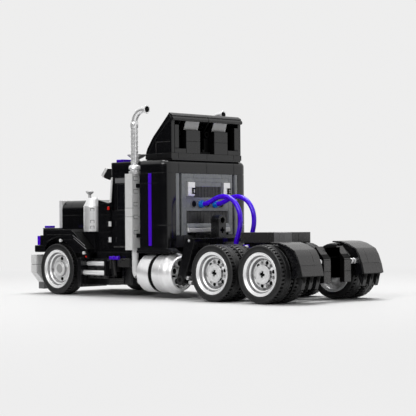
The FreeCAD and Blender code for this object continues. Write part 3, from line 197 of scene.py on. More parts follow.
def prism(points, low, high, axis="y"):
    """A closed outline pushed between two stations along an axis."""
    count = len(points)
    verts = [spot(axis, station, *point) for station in (low, high) for point in points]
    faces = [tuple(range(count)), tuple(range(2 * count - 1, count - 1, -1))]
    return verts, faces + [(i, (i + 1) % count, (i + 1) % count + count, i + count) for i in range(count)]


def skin(rows, closed=False):
    """Joins rows of points; a row of one point closes an end."""
    verts, numbers, faces = [], [], []
    for row in rows:
        numbers.append(range(len(verts), len(verts) + len(row)))
        verts += row
    for a, b in zip(numbers, numbers[1:] + (numbers[:1] if closed else [])):
        count = max(len(a), len(b))
        for i in range(count):
            j = (i + 1) % count
            face = tuple(dict.fromkeys((a[i % len(a)], a[j % len(a)], b[j % len(b)], b[i % len(b)])))
            if len(face) > 2:
                faces.append(face)
    return verts, faces


def rings(loops, centre, axis, closed=False):
    """Joins loops of (station, points) along an axis."""
    return skin([[spot(axis, station, *point, centre) for point in points] for station, points in loops], closed)


def lathe(points, centre, axis, segments, closed=False):
    """Points of (station, radius) turned round an axis through a centre."""
    loops = [(station, circle(radius, segments if radius > 1e-6 else 1)) for station, radius in points]
    return rings(loops, centre, axis, closed)


def plug(axis, place, radius, run, segments=20, taper=0.0, less=0.0):
    """A turned pin from a place, with a taper at its far end to a radius that is less by so much."""
    tip = [(run + taper, radius - less)] if taper else []
    return lathe([(0, 0), (0, radius), (run, radius)] + tip + [(run + taper, 0)], place, axis, segments)


def read_mesh(bm):
    bm.verts.index_update()
    return [tuple(v.co) for v in bm.verts], [tuple(v.index for v in face.verts) for face in bm.faces]


def pierced(loops, station, centre, axis):
    """A flat face at one station between an outer loop and the holes in it."""
    bm = bmesh.new()
    edges = []
    for loop in loops:
        verts = [bm.verts.new((u, w, 0)) for u, w in loop]
        edges += [bm.edges.new((verts[i], verts[(i + 1) % len(verts)])) for i in range(len(verts))]
    bmesh.ops.triangle_fill(bm, use_beauty=True, use_dissolve=False, edges=edges)
    verts, faces = read_mesh(bm)
    bm.free()
    return [spot(axis, station, u, w, centre) for u, w, _ in verts], faces


def block(limits, *rounds):
    """A block whose picked edges are rounded: a round is (radius, steps, test of an edge's middle and direction)."""
    bm = bmesh.new()
    bmesh.ops.create_cube(bm, size=1.0)
    for vert in bm.verts:
        vert.co = [limits[2 * i + (1 if c > 0 else 0)] for i, c in enumerate(vert.co)]
    for radius, steps, test in rounds:
        ends = [(edge, *[vert.co for vert in edge.verts]) for edge in bm.edges]
        picked = [edge for edge, a, b in ends if test((a + b) / 2, (b - a).normalized())]
        bmesh.ops.bevel(bm, geom=picked, offset=radius, segments=steps, profile=0.5, affect="EDGES")
    return bm


ALL = None


def spans(*stations):
    """The runs between stations, open at both ends."""
    return list(zip((ALL, *stations), (*stations, ALL)))


def grid(*runs):
    """The limits of every mix of x, y and z runs."""
    return [(*x, *y, *z) for x, y, z in itertools.product(*runs)]


def bricks(shape, cells, gap=0.24):
    """Cuts a convex block into bricks, each given by its limits, with a fine gap round each cut."""
    shapes = []
    for cell in cells:
        bm = shape.copy()
        for i, limit in enumerate(cell):
            if limit is ALL:
                continue
            sign = 1 if i % 2 else -1
            place, normal = [0.0, 0.0, 0.0], [0.0, 0.0, 0.0]
            place[i // 2] = limit - sign * gap / 2
            normal[i // 2] = sign
            cut = bmesh.ops.bisect_plane(bm, geom=bm.verts[:] + bm.edges[:] + bm.faces[:], dist=0.0001,
                                         plane_co=place, plane_no=normal, clear_outer=True)
            edges = [item for item in cut["geom_cut"] if isinstance(item, bmesh.types.BMEdge)]
            if edges:
                bmesh.ops.edgeloop_fill(bm, edges=edges)
        shapes.append(read_mesh(bm))
        bm.free()
    shape.free()
    return shapes


def solids(shapes):
    return [box(*shape) if len(shape) == 6 else shape for shape in shapes]


def flipped(shapes):
    """The same shapes on the other side of the truck."""
    return [([(x, -y, z) for x, y, z in verts], [face[::-1] for face in faces]) for verts, faces in solids(shapes)]


def both(*shapes):
    return solids(shapes) + flipped(shapes)


# Pieces: each is one mesh of shapes that share a material, with small moulded edges
def add_object(name, data):
    thing = bpy.data.objects.new(name, data)
    bpy.context.scene.collection.objects.link(thing)
    return thing


def round_edges(thing, width, segments, angle):
    modifier = thing.modifiers.new("edge", "BEVEL")
    modifier.width = width * MM
    modifier.segments = segments
    modifier.limit_method = "ANGLE"
    modifier.angle_limit = math.radians(angle)
    modifier.harden_normals = True


def single(name, material, bevel, *shapes, body=TRUCK, segments=2, angle=35, weld=False, replaced=()):
    verts, faces = [], []
    for points, sides in solids(shapes):
        faces += [[len(verts) + i for i in side] for side in sides]
        verts += [tuple(c * MM for c in point) for point in points]
    mesh = bpy.data.meshes.new(name)
    mesh.from_pydata(verts, [], faces)
    mesh.validate()
    bm = bmesh.new()
    bm.from_mesh(mesh)
    if weld:
        bmesh.ops.remove_doubles(bm, verts=bm.verts, dist=0.002 * MM)
    bmesh.ops.recalc_face_normals(bm, faces=bm.faces)
    bm.to_mesh(mesh)
    bm.free()
    mesh.materials.append(material)
    mesh.shade_smooth()
    thing = add_object(name, mesh)
    if bevel:
        round_edges(thing, bevel, segments, angle)
    else:
        mesh.set_sharp_from_angle(angle=math.radians(angle))
    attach(thing, body)
    if replaced:
        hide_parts(*replaced)


def pair(name, material, bevel, *shapes, **options):
    """One piece of shapes and their copies on the other side of the truck."""
    single(name, material, bevel, *both(*shapes), **options)


def sided(side, name, material, bevel, *shapes, **options):
    """A piece of one side, from shapes given for the left side."""
    shapes = flipped(shapes) if side == "right" else shapes
    single(name + "_" + side, material, bevel, *shapes, **options)


def soften(name, material):
    """Gives a construction node its finish, with small moulded edges where they show."""
    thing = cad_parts[name]
    thing.data.materials.clear()
    thing.data.materials.append(material)
    thing.modifiers.new("join", "WELD").merge_threshold = 0.000002
    modifier = thing.modifiers.new("flat", "DECIMATE")
    modifier.decimate_type = "DISSOLVE"
    modifier.angle_limit = math.radians(0.6)
    round_edges(thing, 0.2, 2, 30)


FINISH = (
    (BLACK, "quarter_arms hood front_fender_left front_fender_right cab_shell cab_roof door_left door_right"),
    (BLACK, "door_hinges sleeper_shell sleeper_skirts roof_fairing side_box_left side_box_right"),
    (SATIN, "mudguard_left mudguard_right upright_beam fairing_base tank_bands"),
    (SATIN, "front_axle mid_axle_shaft rear_axle_shaft"),
    (PIT, "chassis_frame tail_bars fairing_ribs stack_shields"),
    (PALE, "front_bumper deck_corner_block"), (DARK, "hitch_deck"), (VENT, "vent_grilles"),
    (LIGHT, "radiator_grille hood_ornament visor_plate roof_dishes stack_pipes"), (PANEL, "back_panel panel_strips"),
    (PURPLE, "marker_lights sleeper_stripes hose_sockets"), (BLUE, "hose_plugs"), (HOSE, "hose_left hose_right"),
    (SILVER, "air_cleaners stack_risers fuel_tank_left fuel_tank_right step_rods"),
    (SILVER, "front_rim_left front_rim_right mid_axle_rims rear_axle_rims"), (STEEL, "panel_trim"),
    (TYRE, "front_tyre_left front_tyre_right mid_axle_tyres rear_axle_tyres"),
    (CLEAR, "windscreen"), (SMOKED, "door_glass_left door_glass_right"),
)
for finish, names in FINISH:
    for node_name in names.split():
        soften(node_name, finish)

# Wheels: dished silvered rims with pierced discs, and tyres with lugs at both shoulders
AXLE_Z = 21.6
TYRE_WIDTH = 14.0
TWIN_GAP = 1.9
RIM_RADIUS = 16.2
BARREL_RADIUS = 14.4
DISC_RADIUS = 10.45
DISC_DEPTH = 6.0
DISC_BACK = 8.2
HUB_DEPTH = 3.0
HUB_HOLE = 4.25
DUAL_HUB, SINGLE_HUB = 7.1, 6.3
WHEEL_STEPS = 72
LUGS = 45
LUG_DEPTH = 1.3
DISH = [(5.9, 10.45), (5.5, 10.9), (4.9, 11.35), (4.3, 11.6), (3.9, 11.9), (3.65, 12.3), (3.5, 12.65), (3.1, 12.95),
        (2.3, 13.2), (1.6, 13.6), (1.1, 13.85), (0.75, 14.2), (0.6, 14.7), (0.5, 15.1), (0.1, 15.45), (0.0, 15.75),
        (0.1, 16.05), (0.3, RIM_RADIUS)]


def turned(points, centre, way=-1):
    """A skin of (depth, radius) points round a wheel's axis. The way is -1 where the depth runs to the right."""
    return lathe([(way * depth, radius) for depth, radius in points], centre, "y", WHEEL_STEPS)


def rim_half(centre, hub, bore, hole_turns, hole_radius, hole_circle, way=-1):
    """One dished wheel with holes through its disc."""
    holes = [circle(hole_radius, 16, polar(hole_circle, math.radians(180 - turn))) for turn in hole_turns]
    root = circle(hub + 0.25, WHEEL_STEPS)
    face = [(DISC_DEPTH, hub + 0.25), (DISC_DEPTH - 0.35, hub + 0.05), (HUB_DEPTH + 0.2, hub),
            (HUB_DEPTH, hub - 0.18), (HUB_DEPTH, 5.2), (HUB_DEPTH + 0.35, 5.0), (HUB_DEPTH + 0.35, 4.45),
            (HUB_DEPTH, HUB_HOLE)]
    barrel = [(0.3, RIM_RADIUS), (TYRE_WIDTH, RIM_RADIUS), (TYRE_WIDTH, BARREL_RADIUS), (DISC_BACK, BARREL_RADIUS)]
    shapes = [turned(points, centre, way) for points in ([(DISC_DEPTH, DISC_RADIUS)] + DISH, barrel, face)]
    shapes += [rings([(way * DISC_DEPTH, hole), (way * DISC_BACK, hole)], centre, "y") for hole in holes]
    return shapes + [pierced([circle(DISC_RADIUS, WHEEL_STEPS), root] + holes, way * DISC_DEPTH, centre, "y"),
                     pierced([circle(BARREL_RADIUS, WHEEL_STEPS), root] + holes, way * DISC_BACK, centre, "y"),
                     pierced([circle(HUB_HOLE, WHEEL_STEPS), bore], way * HUB_DEPTH, centre, "y")]


def rim_walls(centre, hub):
    """The steep walls of the dish and the hub's side, in a darker silver that paints their shade, just clear of the
    rim.
    """
    walls = (((5.8, 10.5), (5.45, 10.84), (4.85, 11.29), (4.25, 11.54), (3.9, 11.8)),
             ((3.1, 12.88), (2.3, 13.13), (1.6, 13.53), (1.15, 13.75)), ((5.6, hub + 0.1), (3.3, hub + 0.06)))
    return [turned(wall, centre) for wall in walls]


def tread(centre):
    """A tyre from its outer face at the centre's station to its inner face. Rows marked 1 are notched."""
    half = [(0.5, 16.25, 0), (0.42, 16.75, 0), (0.12, 17.0, 0), (0.0, 17.25, 0), (0.0, 20.1, 0), (0.12, 20.65, 0),
            (0.42, 21.0, 0), (0.62, 21.2, 0), (0.8, 21.3, 1), (1.2, 21.45, 1), (3.3, 21.58, 1), (3.5, 21.6, 0),
            (4.6, 21.6, 0), (4.75, 21.3, 0), (5.15, 21.3, 0), (5.3, 21.6, 0)]
    columns = [(math.tau / LUGS * (i + share), low) for i in range(LUGS)
               for share, low in ((0.0, 0), (0.2, 0), (0.42, 0), (0.5, 1), (0.86, 1), (0.94, 0))]
    stations = half + [(TYRE_WIDTH - s, r, n) for s, r, n in reversed(half)]
    return rings([(-station, [polar(radius - LUG_DEPTH * notched * low, angle) for angle, low in columns])
                  for station, radius, notched in stations], centre, "y", True)


def dual_wheels(name, axle_x):
    """The twin wheels of a rear axle: the outer rims are dished outwards and the inner ones inwards."""
    face, hole_circle = 57.3, 8.7
    depth = 2 * TYRE_WIDTH + TWIN_GAP
    turns = [46 + 60 * i for i in range(6)]
    body = name.replace("_axle", "_wheelset")
    outer, inner = (axle_x, face, AXLE_Z), (axle_x, face - depth, AXLE_Z)
    bore = cross(2.5, 1.0, 12)
    shapes = [turned([(DISC_BACK, 7.35), (depth - DISC_BACK, 7.35)], outer)]
    for centre, way in ((outer, -1), (inner, 1)):
        shapes += rim_half(centre, DUAL_HUB, bore, turns, 1.4, hole_circle, way)
        shapes.append(rings([(way * HUB_DEPTH, bore), (way * (HUB_DEPTH + 0.7), bore)], centre, "y"))
    pair(name + "_dished_rims", SILVER, 0.1, *shapes, weld=True, body=body, replaced=(name + "_rims",), angle=40)
    # Painted shade on the dish walls and the hub's side
    pair(name + "_rim_walls", SHADE_PAINTED_SILVER, 0, *rim_walls(outer, DUAL_HUB), weld=True, body=body)
    pair(name + "_lugged_tyres", TYRE, 0, tread(outer), tread((axle_x, face - TYRE_WIDTH - TWIN_GAP, AXLE_Z)),
         weld=True, body=body, replaced=(name + "_tyres",), angle=32)
    # The axle's cross-shaped end, and black plugs behind the disc's holes that paint the shade inside them
    ends_and_hole_shades = [prism(cross(2.2, 0.75, 12, (axle_x, AXLE_Z)), face - HUB_DEPTH - 1.6, face - HUB_DEPTH - 0.45)]
    for turn in turns:
        x, z = polar(hole_circle, math.radians(turn), (axle_x, AXLE_Z))
        ends_and_hole_shades.append(plug("y", (x, face - DISC_DEPTH + 0.05, z), 1.5, -1.0, 16))
    pair(name + "_axle_ends_and_hole_shades", PIT, 0.1, *ends_and_hole_shades, body=body)


def front_wheel(side):
    axle_x, face, hole_circle = 115.0, 52.7, 8.5
    centre = (axle_x, face, AXLE_Z)
    options = {"weld": True, "body": side + "_front_wheel"}
    socket = [(DISC_BACK, 6.55), (TYRE_WIDTH - 1, 6.3), (TYRE_WIDTH - 1, 2.45), (HUB_DEPTH + 2, 2.45)]
    recess = [(HUB_DEPTH, 3.75), (HUB_DEPTH + 0.9, 3.7), (HUB_DEPTH + 0.9, 0)]
    cap = [(HUB_DEPTH + 0.95, 0), (HUB_DEPTH + 0.95, 3.5), (HUB_DEPTH + 0.1, 3.5), (HUB_DEPTH - 0.15, 3.2),
           (HUB_DEPTH - 0.2, 0)]
    # Painted shade: black plugs inside the disc's two holes
    backs = [plug("y", (axle_x, face - DISC_DEPTH + 0.05, AXLE_Z + way * hole_circle), 1.65, -1.0, 16)
             for way in (-1, 1)]
    rim = rim_half(centre, SINGLE_HUB, circle(3.75, WHEEL_STEPS), (90, -90), 1.3, hole_circle)
    # Painted shade on the dish walls and the hub's side
    sided(side, "rim_walls", SHADE_PAINTED_SILVER, 0, *rim_walls(centre, SINGLE_HUB), **options)
    sided(side, "rim_hole_shades", PIT, 0.1, *backs, **options)
    sided(side, "dished_rim", SILVER, 0.1, *rim, turned(recess, centre), turned(socket, centre),
          replaced=("front_rim_" + side,), angle=40, **options)
    sided(side, "hub_cap", SLOPE, 0.1, turned(cap, centre), **options)
    sided(side, "lugged_tyre", TYRE, 0, tread(centre), replaced=("front_tyre_" + side,), angle=32, **options)


dual_wheels("mid_axle", -69.0)
dual_wheels("rear_axle", -117.0)
front_wheel("left")
front_wheel("right")

# Sleeper: rounded black bricks, skirts and stripes
SLEEPER = block((-11.3, 16.7, -48.3, 48.3, 40.0, 109.6),
                (7.5, 8, lambda m, d: abs(d.z) > 0.9 and m.x < -10),
                (4.0, 6, lambda m, d: m.z > 109 and abs(d.z) < 0.1 and (m.x < 10 or abs(m.y) > 45)
                 and not (m.x > 16 and abs(d.y) > 0.9)))
TOP_COURSE = 99.2
top, ends = [(TOP_COURSE, ALL)], ((36.1, ALL), (ALL, -36.1))
cells = (grid(spans(5.8), ((32.8, ALL), (ALL, -31.4)), top) + grid(spans(), ((0.9, 32.8), (-31.4, 0.9)), top)
         + grid([(-2.8, ALL)], ends, ((91.1, TOP_COURSE), (40.0, 91.1)))
         + grid([(ALL, -2.8)], ends, ((57.8, TOP_COURSE), (40.0, 57.8))))
single("sleeper_bricks", BLACK, 0.16, *bricks(SLEEPER, cells, 0.26))
single("sleeper_lower_bricks", SATIN, 0.16,
       *[(-11.2, -6.0, y + 0.12, min(y + 16, 36) - 0.12, 40.2, 49.3) for y in (-36.0, -20.0, -4.0, 12.0, 28.0)],
       (-13.4, -11.0, -8.4, 15.2, 46.6, 51.2), (-15.2, -13.0, -4.0, 2.0, 43.0, 50.6),
       (-14.6, -13.0, 8.0, 13.6, 41.5, 49.8), plug("x", (-15.8, 6.0, 47.6), 2.0, 3.0, 24),
       plug("x", (-15.4, -6.0, 46.2), 1.6, 2.6, 24))
# Painted highlight: dark grey strips down the sleeper's front edges, where the black edge catches the light
pair("sleeper_front_edge_highlights", DARK, 0.2, (15.9, 17.0, 40.0, 40.7, 36.4, 98.6))
pair("skirt_plates", BLACK, 0.2,
     prism([(18.9, 40.0), (-14.2, 40.0), (-15.2, 39.2), (-15.2, 38.2), (18.9, 38.2)], 41.0, 50.2),
     prism([(18.9, 38.0), (-15.4, 38.0), (-18.8, 35.9), (18.9, 35.9)], 41.0, 50.9),
     prism([(-15.6, 39.8), (-17.4, 38.6), (-20.4, 36.6), (-20.4, 35.9), (-19.0, 35.9), (-15.6, 38.0)], 42.0, 47.0))
pair("stripe_tiles", PURPLE, 0.12, (4.0, 7.4, 48.2, 48.72, 41.6, 90.9), (4.0, 7.4, 48.2, 48.72, 91.2, 98.9),
     replaced=("sleeper_stripes",))

# Back panel: grey plates, a row of pin holes, a bar, brackets with their hooks, and vents
PLATE = (-11.42, -10.9)
PIN_YS = (-16.0, -8.0, 0.0, 8.0, 16.0)
PIN_Z = 74.6
RIB_PITCH = 1.6
single("back_panel_plates", PANEL, 0.14,
       *both((*PLATE, 16.6, 29.3, 95.5, 98.7), (*PLATE, 24.8, 29.3, 92.3, 95.3), (*PLATE, 24.8, 29.3, 49.7, 59.0),
             (*PLATE, 24.8, 29.3, 59.2, 70.9), (*PLATE, 24.8, 29.3, 71.1, 92.1), (*PLATE, 16.7, 24.6, 78.6, 81.8)),
       (*PLATE, -16.4, 16.4, 95.5, 98.7), (*PLATE, -24.6, 24.6, 92.3, 95.3), (*PLATE, -16.4, 16.4, 88.8, 92.1),
       (*PLATE, -24.6, 24.6, 69.1, 71.0), (*PLATE, -24.6, 24.6, 49.7, 51.6),
       *[(*PLATE, y, y + 16.1, 49.7, 51.6) for y in (-24.4, -8.1, 8.1)])
ring = [(-0.55, 2.45), (-0.55, 3.1), (-0.35, 3.25), (0.1, 3.25), (0.1, 2.45)]
single("pin_hole_rings", PALE, 0.08, *[lathe(ring, (-11.0, y, PIN_Z), "x", 32, True) for y in PIN_YS])
# Painted shade: black plugs filling the pin holes
single("panel_pin_hole_shades", PIT, 0.04, *[plug("x", (-11.3, y, PIN_Z), 2.46, 0.5, 24) for y in PIN_YS])
single("panel_slope", PANEL, 0.14,
       prism([(-11.3, 59.1), (-13.2, 56.0), (-13.2, 55.7), (-11.0, 55.7), (-11.0, 59.1)], -24.4, 24.4))
bar = [(-12.9, 55.4), (-13.3, 55.0), (-13.3, 52.4), (-12.9, 52.0), (-11.0, 52.0), (-11.0, 55.4)]
single("panel_bar_tiles", LIGHT, 0.14, *[prism(bar, *span) for span in ((-24.6, -8.2), (-8.0, 8.2), (8.4, 23.8))])
single("panel_bracket_plates", STEEL, 0.2, *[shape for y in (16.8, -24.4) for shape in (
    (-13.6, -11.0, y, y + 7.6, 87.4, 92.0), (-13.2, -11.0, y + 2.4, y + 7.6, 82.3, 87.2),
    (-12.2, -11.0, y + 0.2, y + 2.2, 82.3, 87.2))])
single("panel_hooks", PIT, 0.2, *[shape for y in (16.2, -25.0) for shape in (
    (-14.2, -12.6, y + 0.4, y + 3.6, 86.2, 87.4), (-14.2, -12.6, y + 0.4, y + 3.6, 82.5, 83.7),
    (-14.2, -12.6, y + 2.6, y + 3.6, 83.7, 86.2), (-13.4, -12.6, y + 0.4, y + 2.6, 83.7, 86.2))])
edge = [(-10.9, 32.5), (-11.45, 32.5), (-11.45, 35.0), (-11.0, 35.8), (-10.6, 35.9)]
pair("panel_edge_strips", PANEL, 0.12,
     *[prism(edge, *span, "z") for span in ((49.9, 53.4), (53.6, 90.6), (90.8, 98.8))])
ribs = []
for half, low, high in ((16.4, 79.4, 88.5), (24.3, 59.3, 68.6)):
    count = round(2 * half / RIB_PITCH)
    for i in range(count):
        y = -half + (i + 0.5) * 2 * half / count
        ribs.append((-10.9, -10.45 - 0.1 * (i % 2), y - 0.52, y + 0.52, low, high))
single("vent_ribs", VENT, 0.1, *ribs)

# Roof fairing: slanted deck with its double lip, side frames and the open back between the posts
base = block((-11.3, 18.3, -40.9, 40.9, 110.6, 114.9))
single("fairing_base_plates", SATIN, 0.16, *bricks(base, grid(spans(), spans(-31.4, 0.6, 32.9), spans())))
pair("fairing_lip", SATIN, 0.35,
     prism([(-12.2, 144.4), (-11.4, 145.3), (-8.6, 146.9), (-7.6, 146.5), (-8.2, 144.2), (-10.6, 142.9)], 0.2, 40.4),
     prism([(-13.6, 142.0), (-12.4, 143.9), (-10.6, 142.7), (-8.8, 143.6), (-8.6, 141.6), (-11.0, 140.4),
            (-12.8, 140.6)], 0.2, 40.4), segments=3)
pair("fairing_side_frames", BLACK, 0.2,
     prism([(-8.6, 146.2), (9.9, 127.8), (16.6, 118.9), (18.2, 115.1), (14.6, 115.1), (13.4, 118.0), (7.4, 126.0),
            (-10.4, 142.6)], 39.6, 40.6),
     prism([(-10.9, 115.1), (-10.9, 141.6), (-9.4, 140.6), (-9.4, 124.4), (-9.4, 115.1)], 39.6, 40.5),
     (-9.2, 6.2, 39.2, 40.35, 115.1, 123.7))
pair("fairing_side_edges", DARK, 0.12,
     prism([(6.3, 115.1), (6.3, 123.8), (-9.4, 123.8), (-9.4, 124.2), (7.0, 124.2), (7.0, 115.1)], 39.4, 40.5))
single("fairing_deck_tiles", BLACK, 0.16, *[
    prism(outline, *span) for span in ((-39.8, -16.2), (-15.8, 15.8), (16.2, 39.8)) for outline in (
        [(-8.4, 146.9), (10.8, 128.2), (10.5, 127.9), (-8.8, 146.5)],
        [(10.9, 128.05), (17.6, 118.8), (17.2, 118.6), (10.6, 127.8)])])
pair("fairing_post_tiles", SATIN, 0.14, (-11.35, -10.9, 8.35, 24.05, 115.0, 124.45),
     (-11.35, -10.9, 8.35, 24.05, 124.65, 133.3), (-11.35, -10.9, 32.5, 37.0, 119.0, 137.3),
     (-11.3, -10.9, 24.4, 37.0, 115.0, 118.5))
# Painted reflection: the slopes' grey stands in for the bright floor they reflect
pair("fairing_slope_tiles", SLOPE, 0.16,
     prism([(-11.8, 142.9), (-8.6, 133.7), (-7.9, 133.7), (-11.0, 142.9)], 8.3, 24.1))
arms = [(-9.0, -4.0, -6.0, 5.6, 115.0, 116.6), plug("x", (-9.4, 2.6, 117.4), 1.2, 4.0)]
for y in (24.3, -8.0):
    arms += [prism([(-10.6, 140.6), (-4.6, 132.2), (-3.2, 133.2), (-9.2, 141.4)], y + step, y + step + 1.2)
             for step in (0.0, 4.9)]
    arms += [lathe([(-0.4, 1.5), (-0.4, 2.5), (0.4, 2.5), (0.4, 1.5)], (-6.0, y + 3.3, 131.0), "x", 24, True),
             (-5.6, -3.4, y + 0.6, y + 6.0, 116.0, 128.0)]
single("fairing_inner_arms", PIT, 0.16, *arms)

# Cab: roof bricks, side bricks, side lamps, visor and roof dishes
roof = block((16.9, 62.6, -40.3, 40.3, 97.5, 109.6), (5.0, 7, lambda m, d: abs(d.z) > 0.9 and m.x > 60),
             (0.9, 3, lambda m, d: m.z > 109 and abs(d.z) < 0.1))
single("cab_roof_bricks", BLACK, 0.14,
       *bricks(roof, grid(spans(40.7, 51.0), spans(-16.0, 16.0), ((97.5, 102.5), (102.5, 109.6)))))
pair("cab_side_bricks", BLACK, 0.14,
     *grid(((61.9, 68.2), (68.5, 76.2)), [(39.8, 40.3)], ((36.4, 52.4), (52.7, 66.6), (66.9, 76.3))),
     *grid(((17.0, 25.0), (25.3, 34.7)), [(39.8, 40.25)], ((36.4, 58.0), (58.3, 99.0))))
pair("screen_side_edges", LIGHT, 0.12, prism([(60.1, 76.9), (61.9, 76.9), (59.8, 97.3), (58.0, 97.3)], 39.9, 40.5))
pair("side_lamps", RED, 0.06,
     lathe([(0, 0.9), (0, 1.0), (2.4, 1.0), (2.6, 0.8), (2.6, 0)], (60.9, 42.6, 70.8), "z", 20), weld=True)
pair("side_lamp_arms", BLACK, 0.12, (60.2, 61.6, 39.9, 43.4, 69.6, 70.8), (60.2, 61.6, 39.9, 41.2, 64.6, 70.8))
pair("visor_ends", SATIN, 0.2,
     prism([(62.4, 104.7), (66.6, 104.7), (71.4, 98.9), (70.6, 97.2), (64.2, 95.4), (62.6, 96.0)], -38.2, -37.6))
single("visor_tiles", LIGHT, 0.12,
       prism([(67.1, 104.9), (69.4, 105.7), (74.6, 99.7), (72.4, 97.8), (71.8, 98.4), (73.4, 99.7), (69.2, 104.6),
              (67.6, 104.2)], -38.2, 38.2))
pair("roof_dish_shells", WHITE, 0.1,
     lathe([(0.2, 3.0), (1.4, 3.0), (2.0, 2.0), (2.6, 2.2), (4.2, 5.6), (5.6, 7.5), (6.5, 8.0), (6.6, 7.5),
            (5.4, 5.6), (3.8, 2.0), (3.6, 0)], (42.0, 28.0, 109.3), "z", 40), weld=True, replaced=("roof_dishes",))

# Doors: skin with its seams, window frame, hinge knuckles, sill and handle
SKIN, WINDOW = (39.7, 40.32), (38.9, 39.9)
DOOR = (
    ("door_skin", BLACK, 0.14, (
        (35.7, 59.1, *SKIN, 39.9, 63.3), (35.7, 59.1, *SKIN, 63.5, 66.5), (35.7, 59.1, *SKIN, 66.7, 69.8),
        (35.7, 38.3, *SKIN, 70.0, 96.8), (53.9, 56.4, *SKIN, 70.0, 92.2), (38.5, 43.2, *SKIN, 92.4, 96.8))),
    ("door_top_strip", PALE, 0.14, [(43.4, 55.0, 39.7, 40.45, 92.5, 96.5)]),
    ("window_frame", SATIN, 0.16, (
        (38.6, 53.7, *WINDOW, 69.9, 71.1), (38.6, 53.7, *WINDOW, 91.3, 92.3),
        (38.6, 39.6, *WINDOW, 71.1, 91.3), (52.7, 53.7, *WINDOW, 71.1, 91.3))),
    ("door_knuckles", LIGHT, 0.25, [(57.4, 60.3, 40.2, 43.6, low + 0.15, low + 4.25) for low in (44.0, 57.0)]),
    ("door_sill_tile", DARK, 0.12, [(43.2, 57.0, 39.9, 40.7, 39.8, 41.0)]),
    ("door_handle", DARK, 0.2, ((37.4, 41.2, 40.2, 41.3, 60.2, 61.2), (37.4, 38.1, 40.0, 41.3, 60.2, 61.2))),
)
for side in ("left", "right"):
    for name, material, bevel, boxes in DOOR:
        sided(side, name, material, bevel, *boxes, body=side + "_door")

# Stack shields: covers with a column of notches, caps and the clips that hold them
NOTCHES = (50.7, 63.0, 73.3, 83.5, 93.8)
NOTCH_HEIGHT = 3.2
BACK_X, FRONT_X, IN_Y, OUT_Y = 24.25, 32.75, 41.8, 50.25
WALL = (BACK_X, BACK_X + 0.6)
cover = []
for low, high in ((38.0, 64.7), (64.9, 71.6), (71.8, 98.7)):
    cover += [(BACK_X + 0.1, FRONT_X, OUT_Y - 0.7, OUT_Y, low, high), (*WALL, 48.6, OUT_Y - 0.8, low, high),
              (*WALL, IN_Y, 43.9, low, high), (FRONT_X - 0.5, FRONT_X, IN_Y, OUT_Y - 0.8, low, high)]
start = 38.0
for notch in NOTCHES:
    cover += [(*WALL, 44.0, 48.5, start, notch), (BACK_X - 0.1, BACK_X + 0.5, 44.0, 48.1, notch + 0.32, notch + 2.88)]
    start = notch + NOTCH_HEIGHT
pair("shield_covers", LIGHT, 0.14, *cover, (*WALL, 44.0, 48.5, start, 98.7))
pair("shield_caps", LIGHT, 0.2, (BACK_X, FRONT_X, IN_Y, OUT_Y, 98.6, 99.3))
pair("shield_slot_backs", VENT, 0.05, (BACK_X + 0.12, BACK_X + 0.4, 43.0, 49.4, 38.2, 98.6))
pair("shield_clips", SATIN, 0.2,
     *[(17.0, 24.2, 40.3, 42.2, low - 0.1, low + 3.3) for low in (48.0, 58.0, 78.0, 88.0)])

# Stacks: ribbed risers that bend back to a flared mouth, and the pipes that feed them from below
STACK_X, STACK_Y, MOUTH_Z = 27.1, 44.6, 150.3
RISER_RIBS = 7


def tube(stations, segments):
    """A round skin along stations of (x, z, turn, radius) in the stack's upright plane."""
    return skin([[(x + out * math.cos(turn), STACK_Y + across, z + out * math.sin(turn))
                  for out, across in circle(radius, segments)] for x, z, turn, radius in stations])


profile = [(98.9, 3.2), (98.9, 4.7), (101.4, 4.75), (101.7, 4.4), (101.8, 3.7), (102.6, 3.7), (102.7, 4.4),
           (103.1, 4.8), (105.0, 4.7), (106.0, 4.0), (106.4, 3.0)]
for z in [108.3 + 4.05 * i for i in range(RISER_RIBS)]:
    profile += [(z, 2.85), (z, 3.05), (z + 0.1, 3.15), (z + 1.2, 3.15), (z + 1.3, 3.05), (z + 1.3, 2.85)]
profile += [(136.2, 2.85), (136.3, 3.2), (136.6, 3.35), (140.6, 3.3), (141.0, 3.1), (141.1, 2.5)]
bend = [(*polar(11.0, math.pi / 2 * i / 14, (16.1, 139.3)), math.pi / 2 * i / 14, 2.55) for i in range(15)]
mouth = [(x, MOUTH_Z, math.pi / 2, radius) for x, radius in (
    (14.9, 2.6), (13.4, 3.0), (12.6, 3.35), (12.2, 3.4), (12.0, 3.2), (12.1, 2.5), (13.2, 2.4))]
pair("stack_tubes", CHROME, 0.06, lathe(profile, (STACK_X, STACK_Y, 0), "z", 48), tube(bend + mouth, 36), weld=True,
     replaced=("stack_risers",), angle=40)
# Painted shade: black plugs filling the stacks' mouths
pair("stack_mouth_shades", PIT, 0.05, plug("x", (12.5, STACK_Y, MOUTH_Z), 2.45, 0.8, 36), weld=True)
feed_pipe = [(STACK_X, z, 0.0, radius) for z, radius in (
    (38.4, 2.65), (31.0, 2.65), (30.8, 2.5), (30.4, 2.5), (30.2, 2.65), (24.0, 2.65))]
for turn in [-math.radians(50) * i / 8 for i in range(9)]:
    feed_pipe.append((*polar(7.0, turn, (20.1, 22.4)), turn, 2.65))
ball = [(-4.0 * math.cos(a), 4.0 * math.sin(a)) for a in [math.pi * i / 16 for i in range(17)]]
pair("tank_feed_pipes", WHITE, 0.05, tube(feed_pipe, 32), lathe(ball, (19.8, 44.4, 13.9), "z", 32), weld=True,
     replaced=("stack_pipes",))
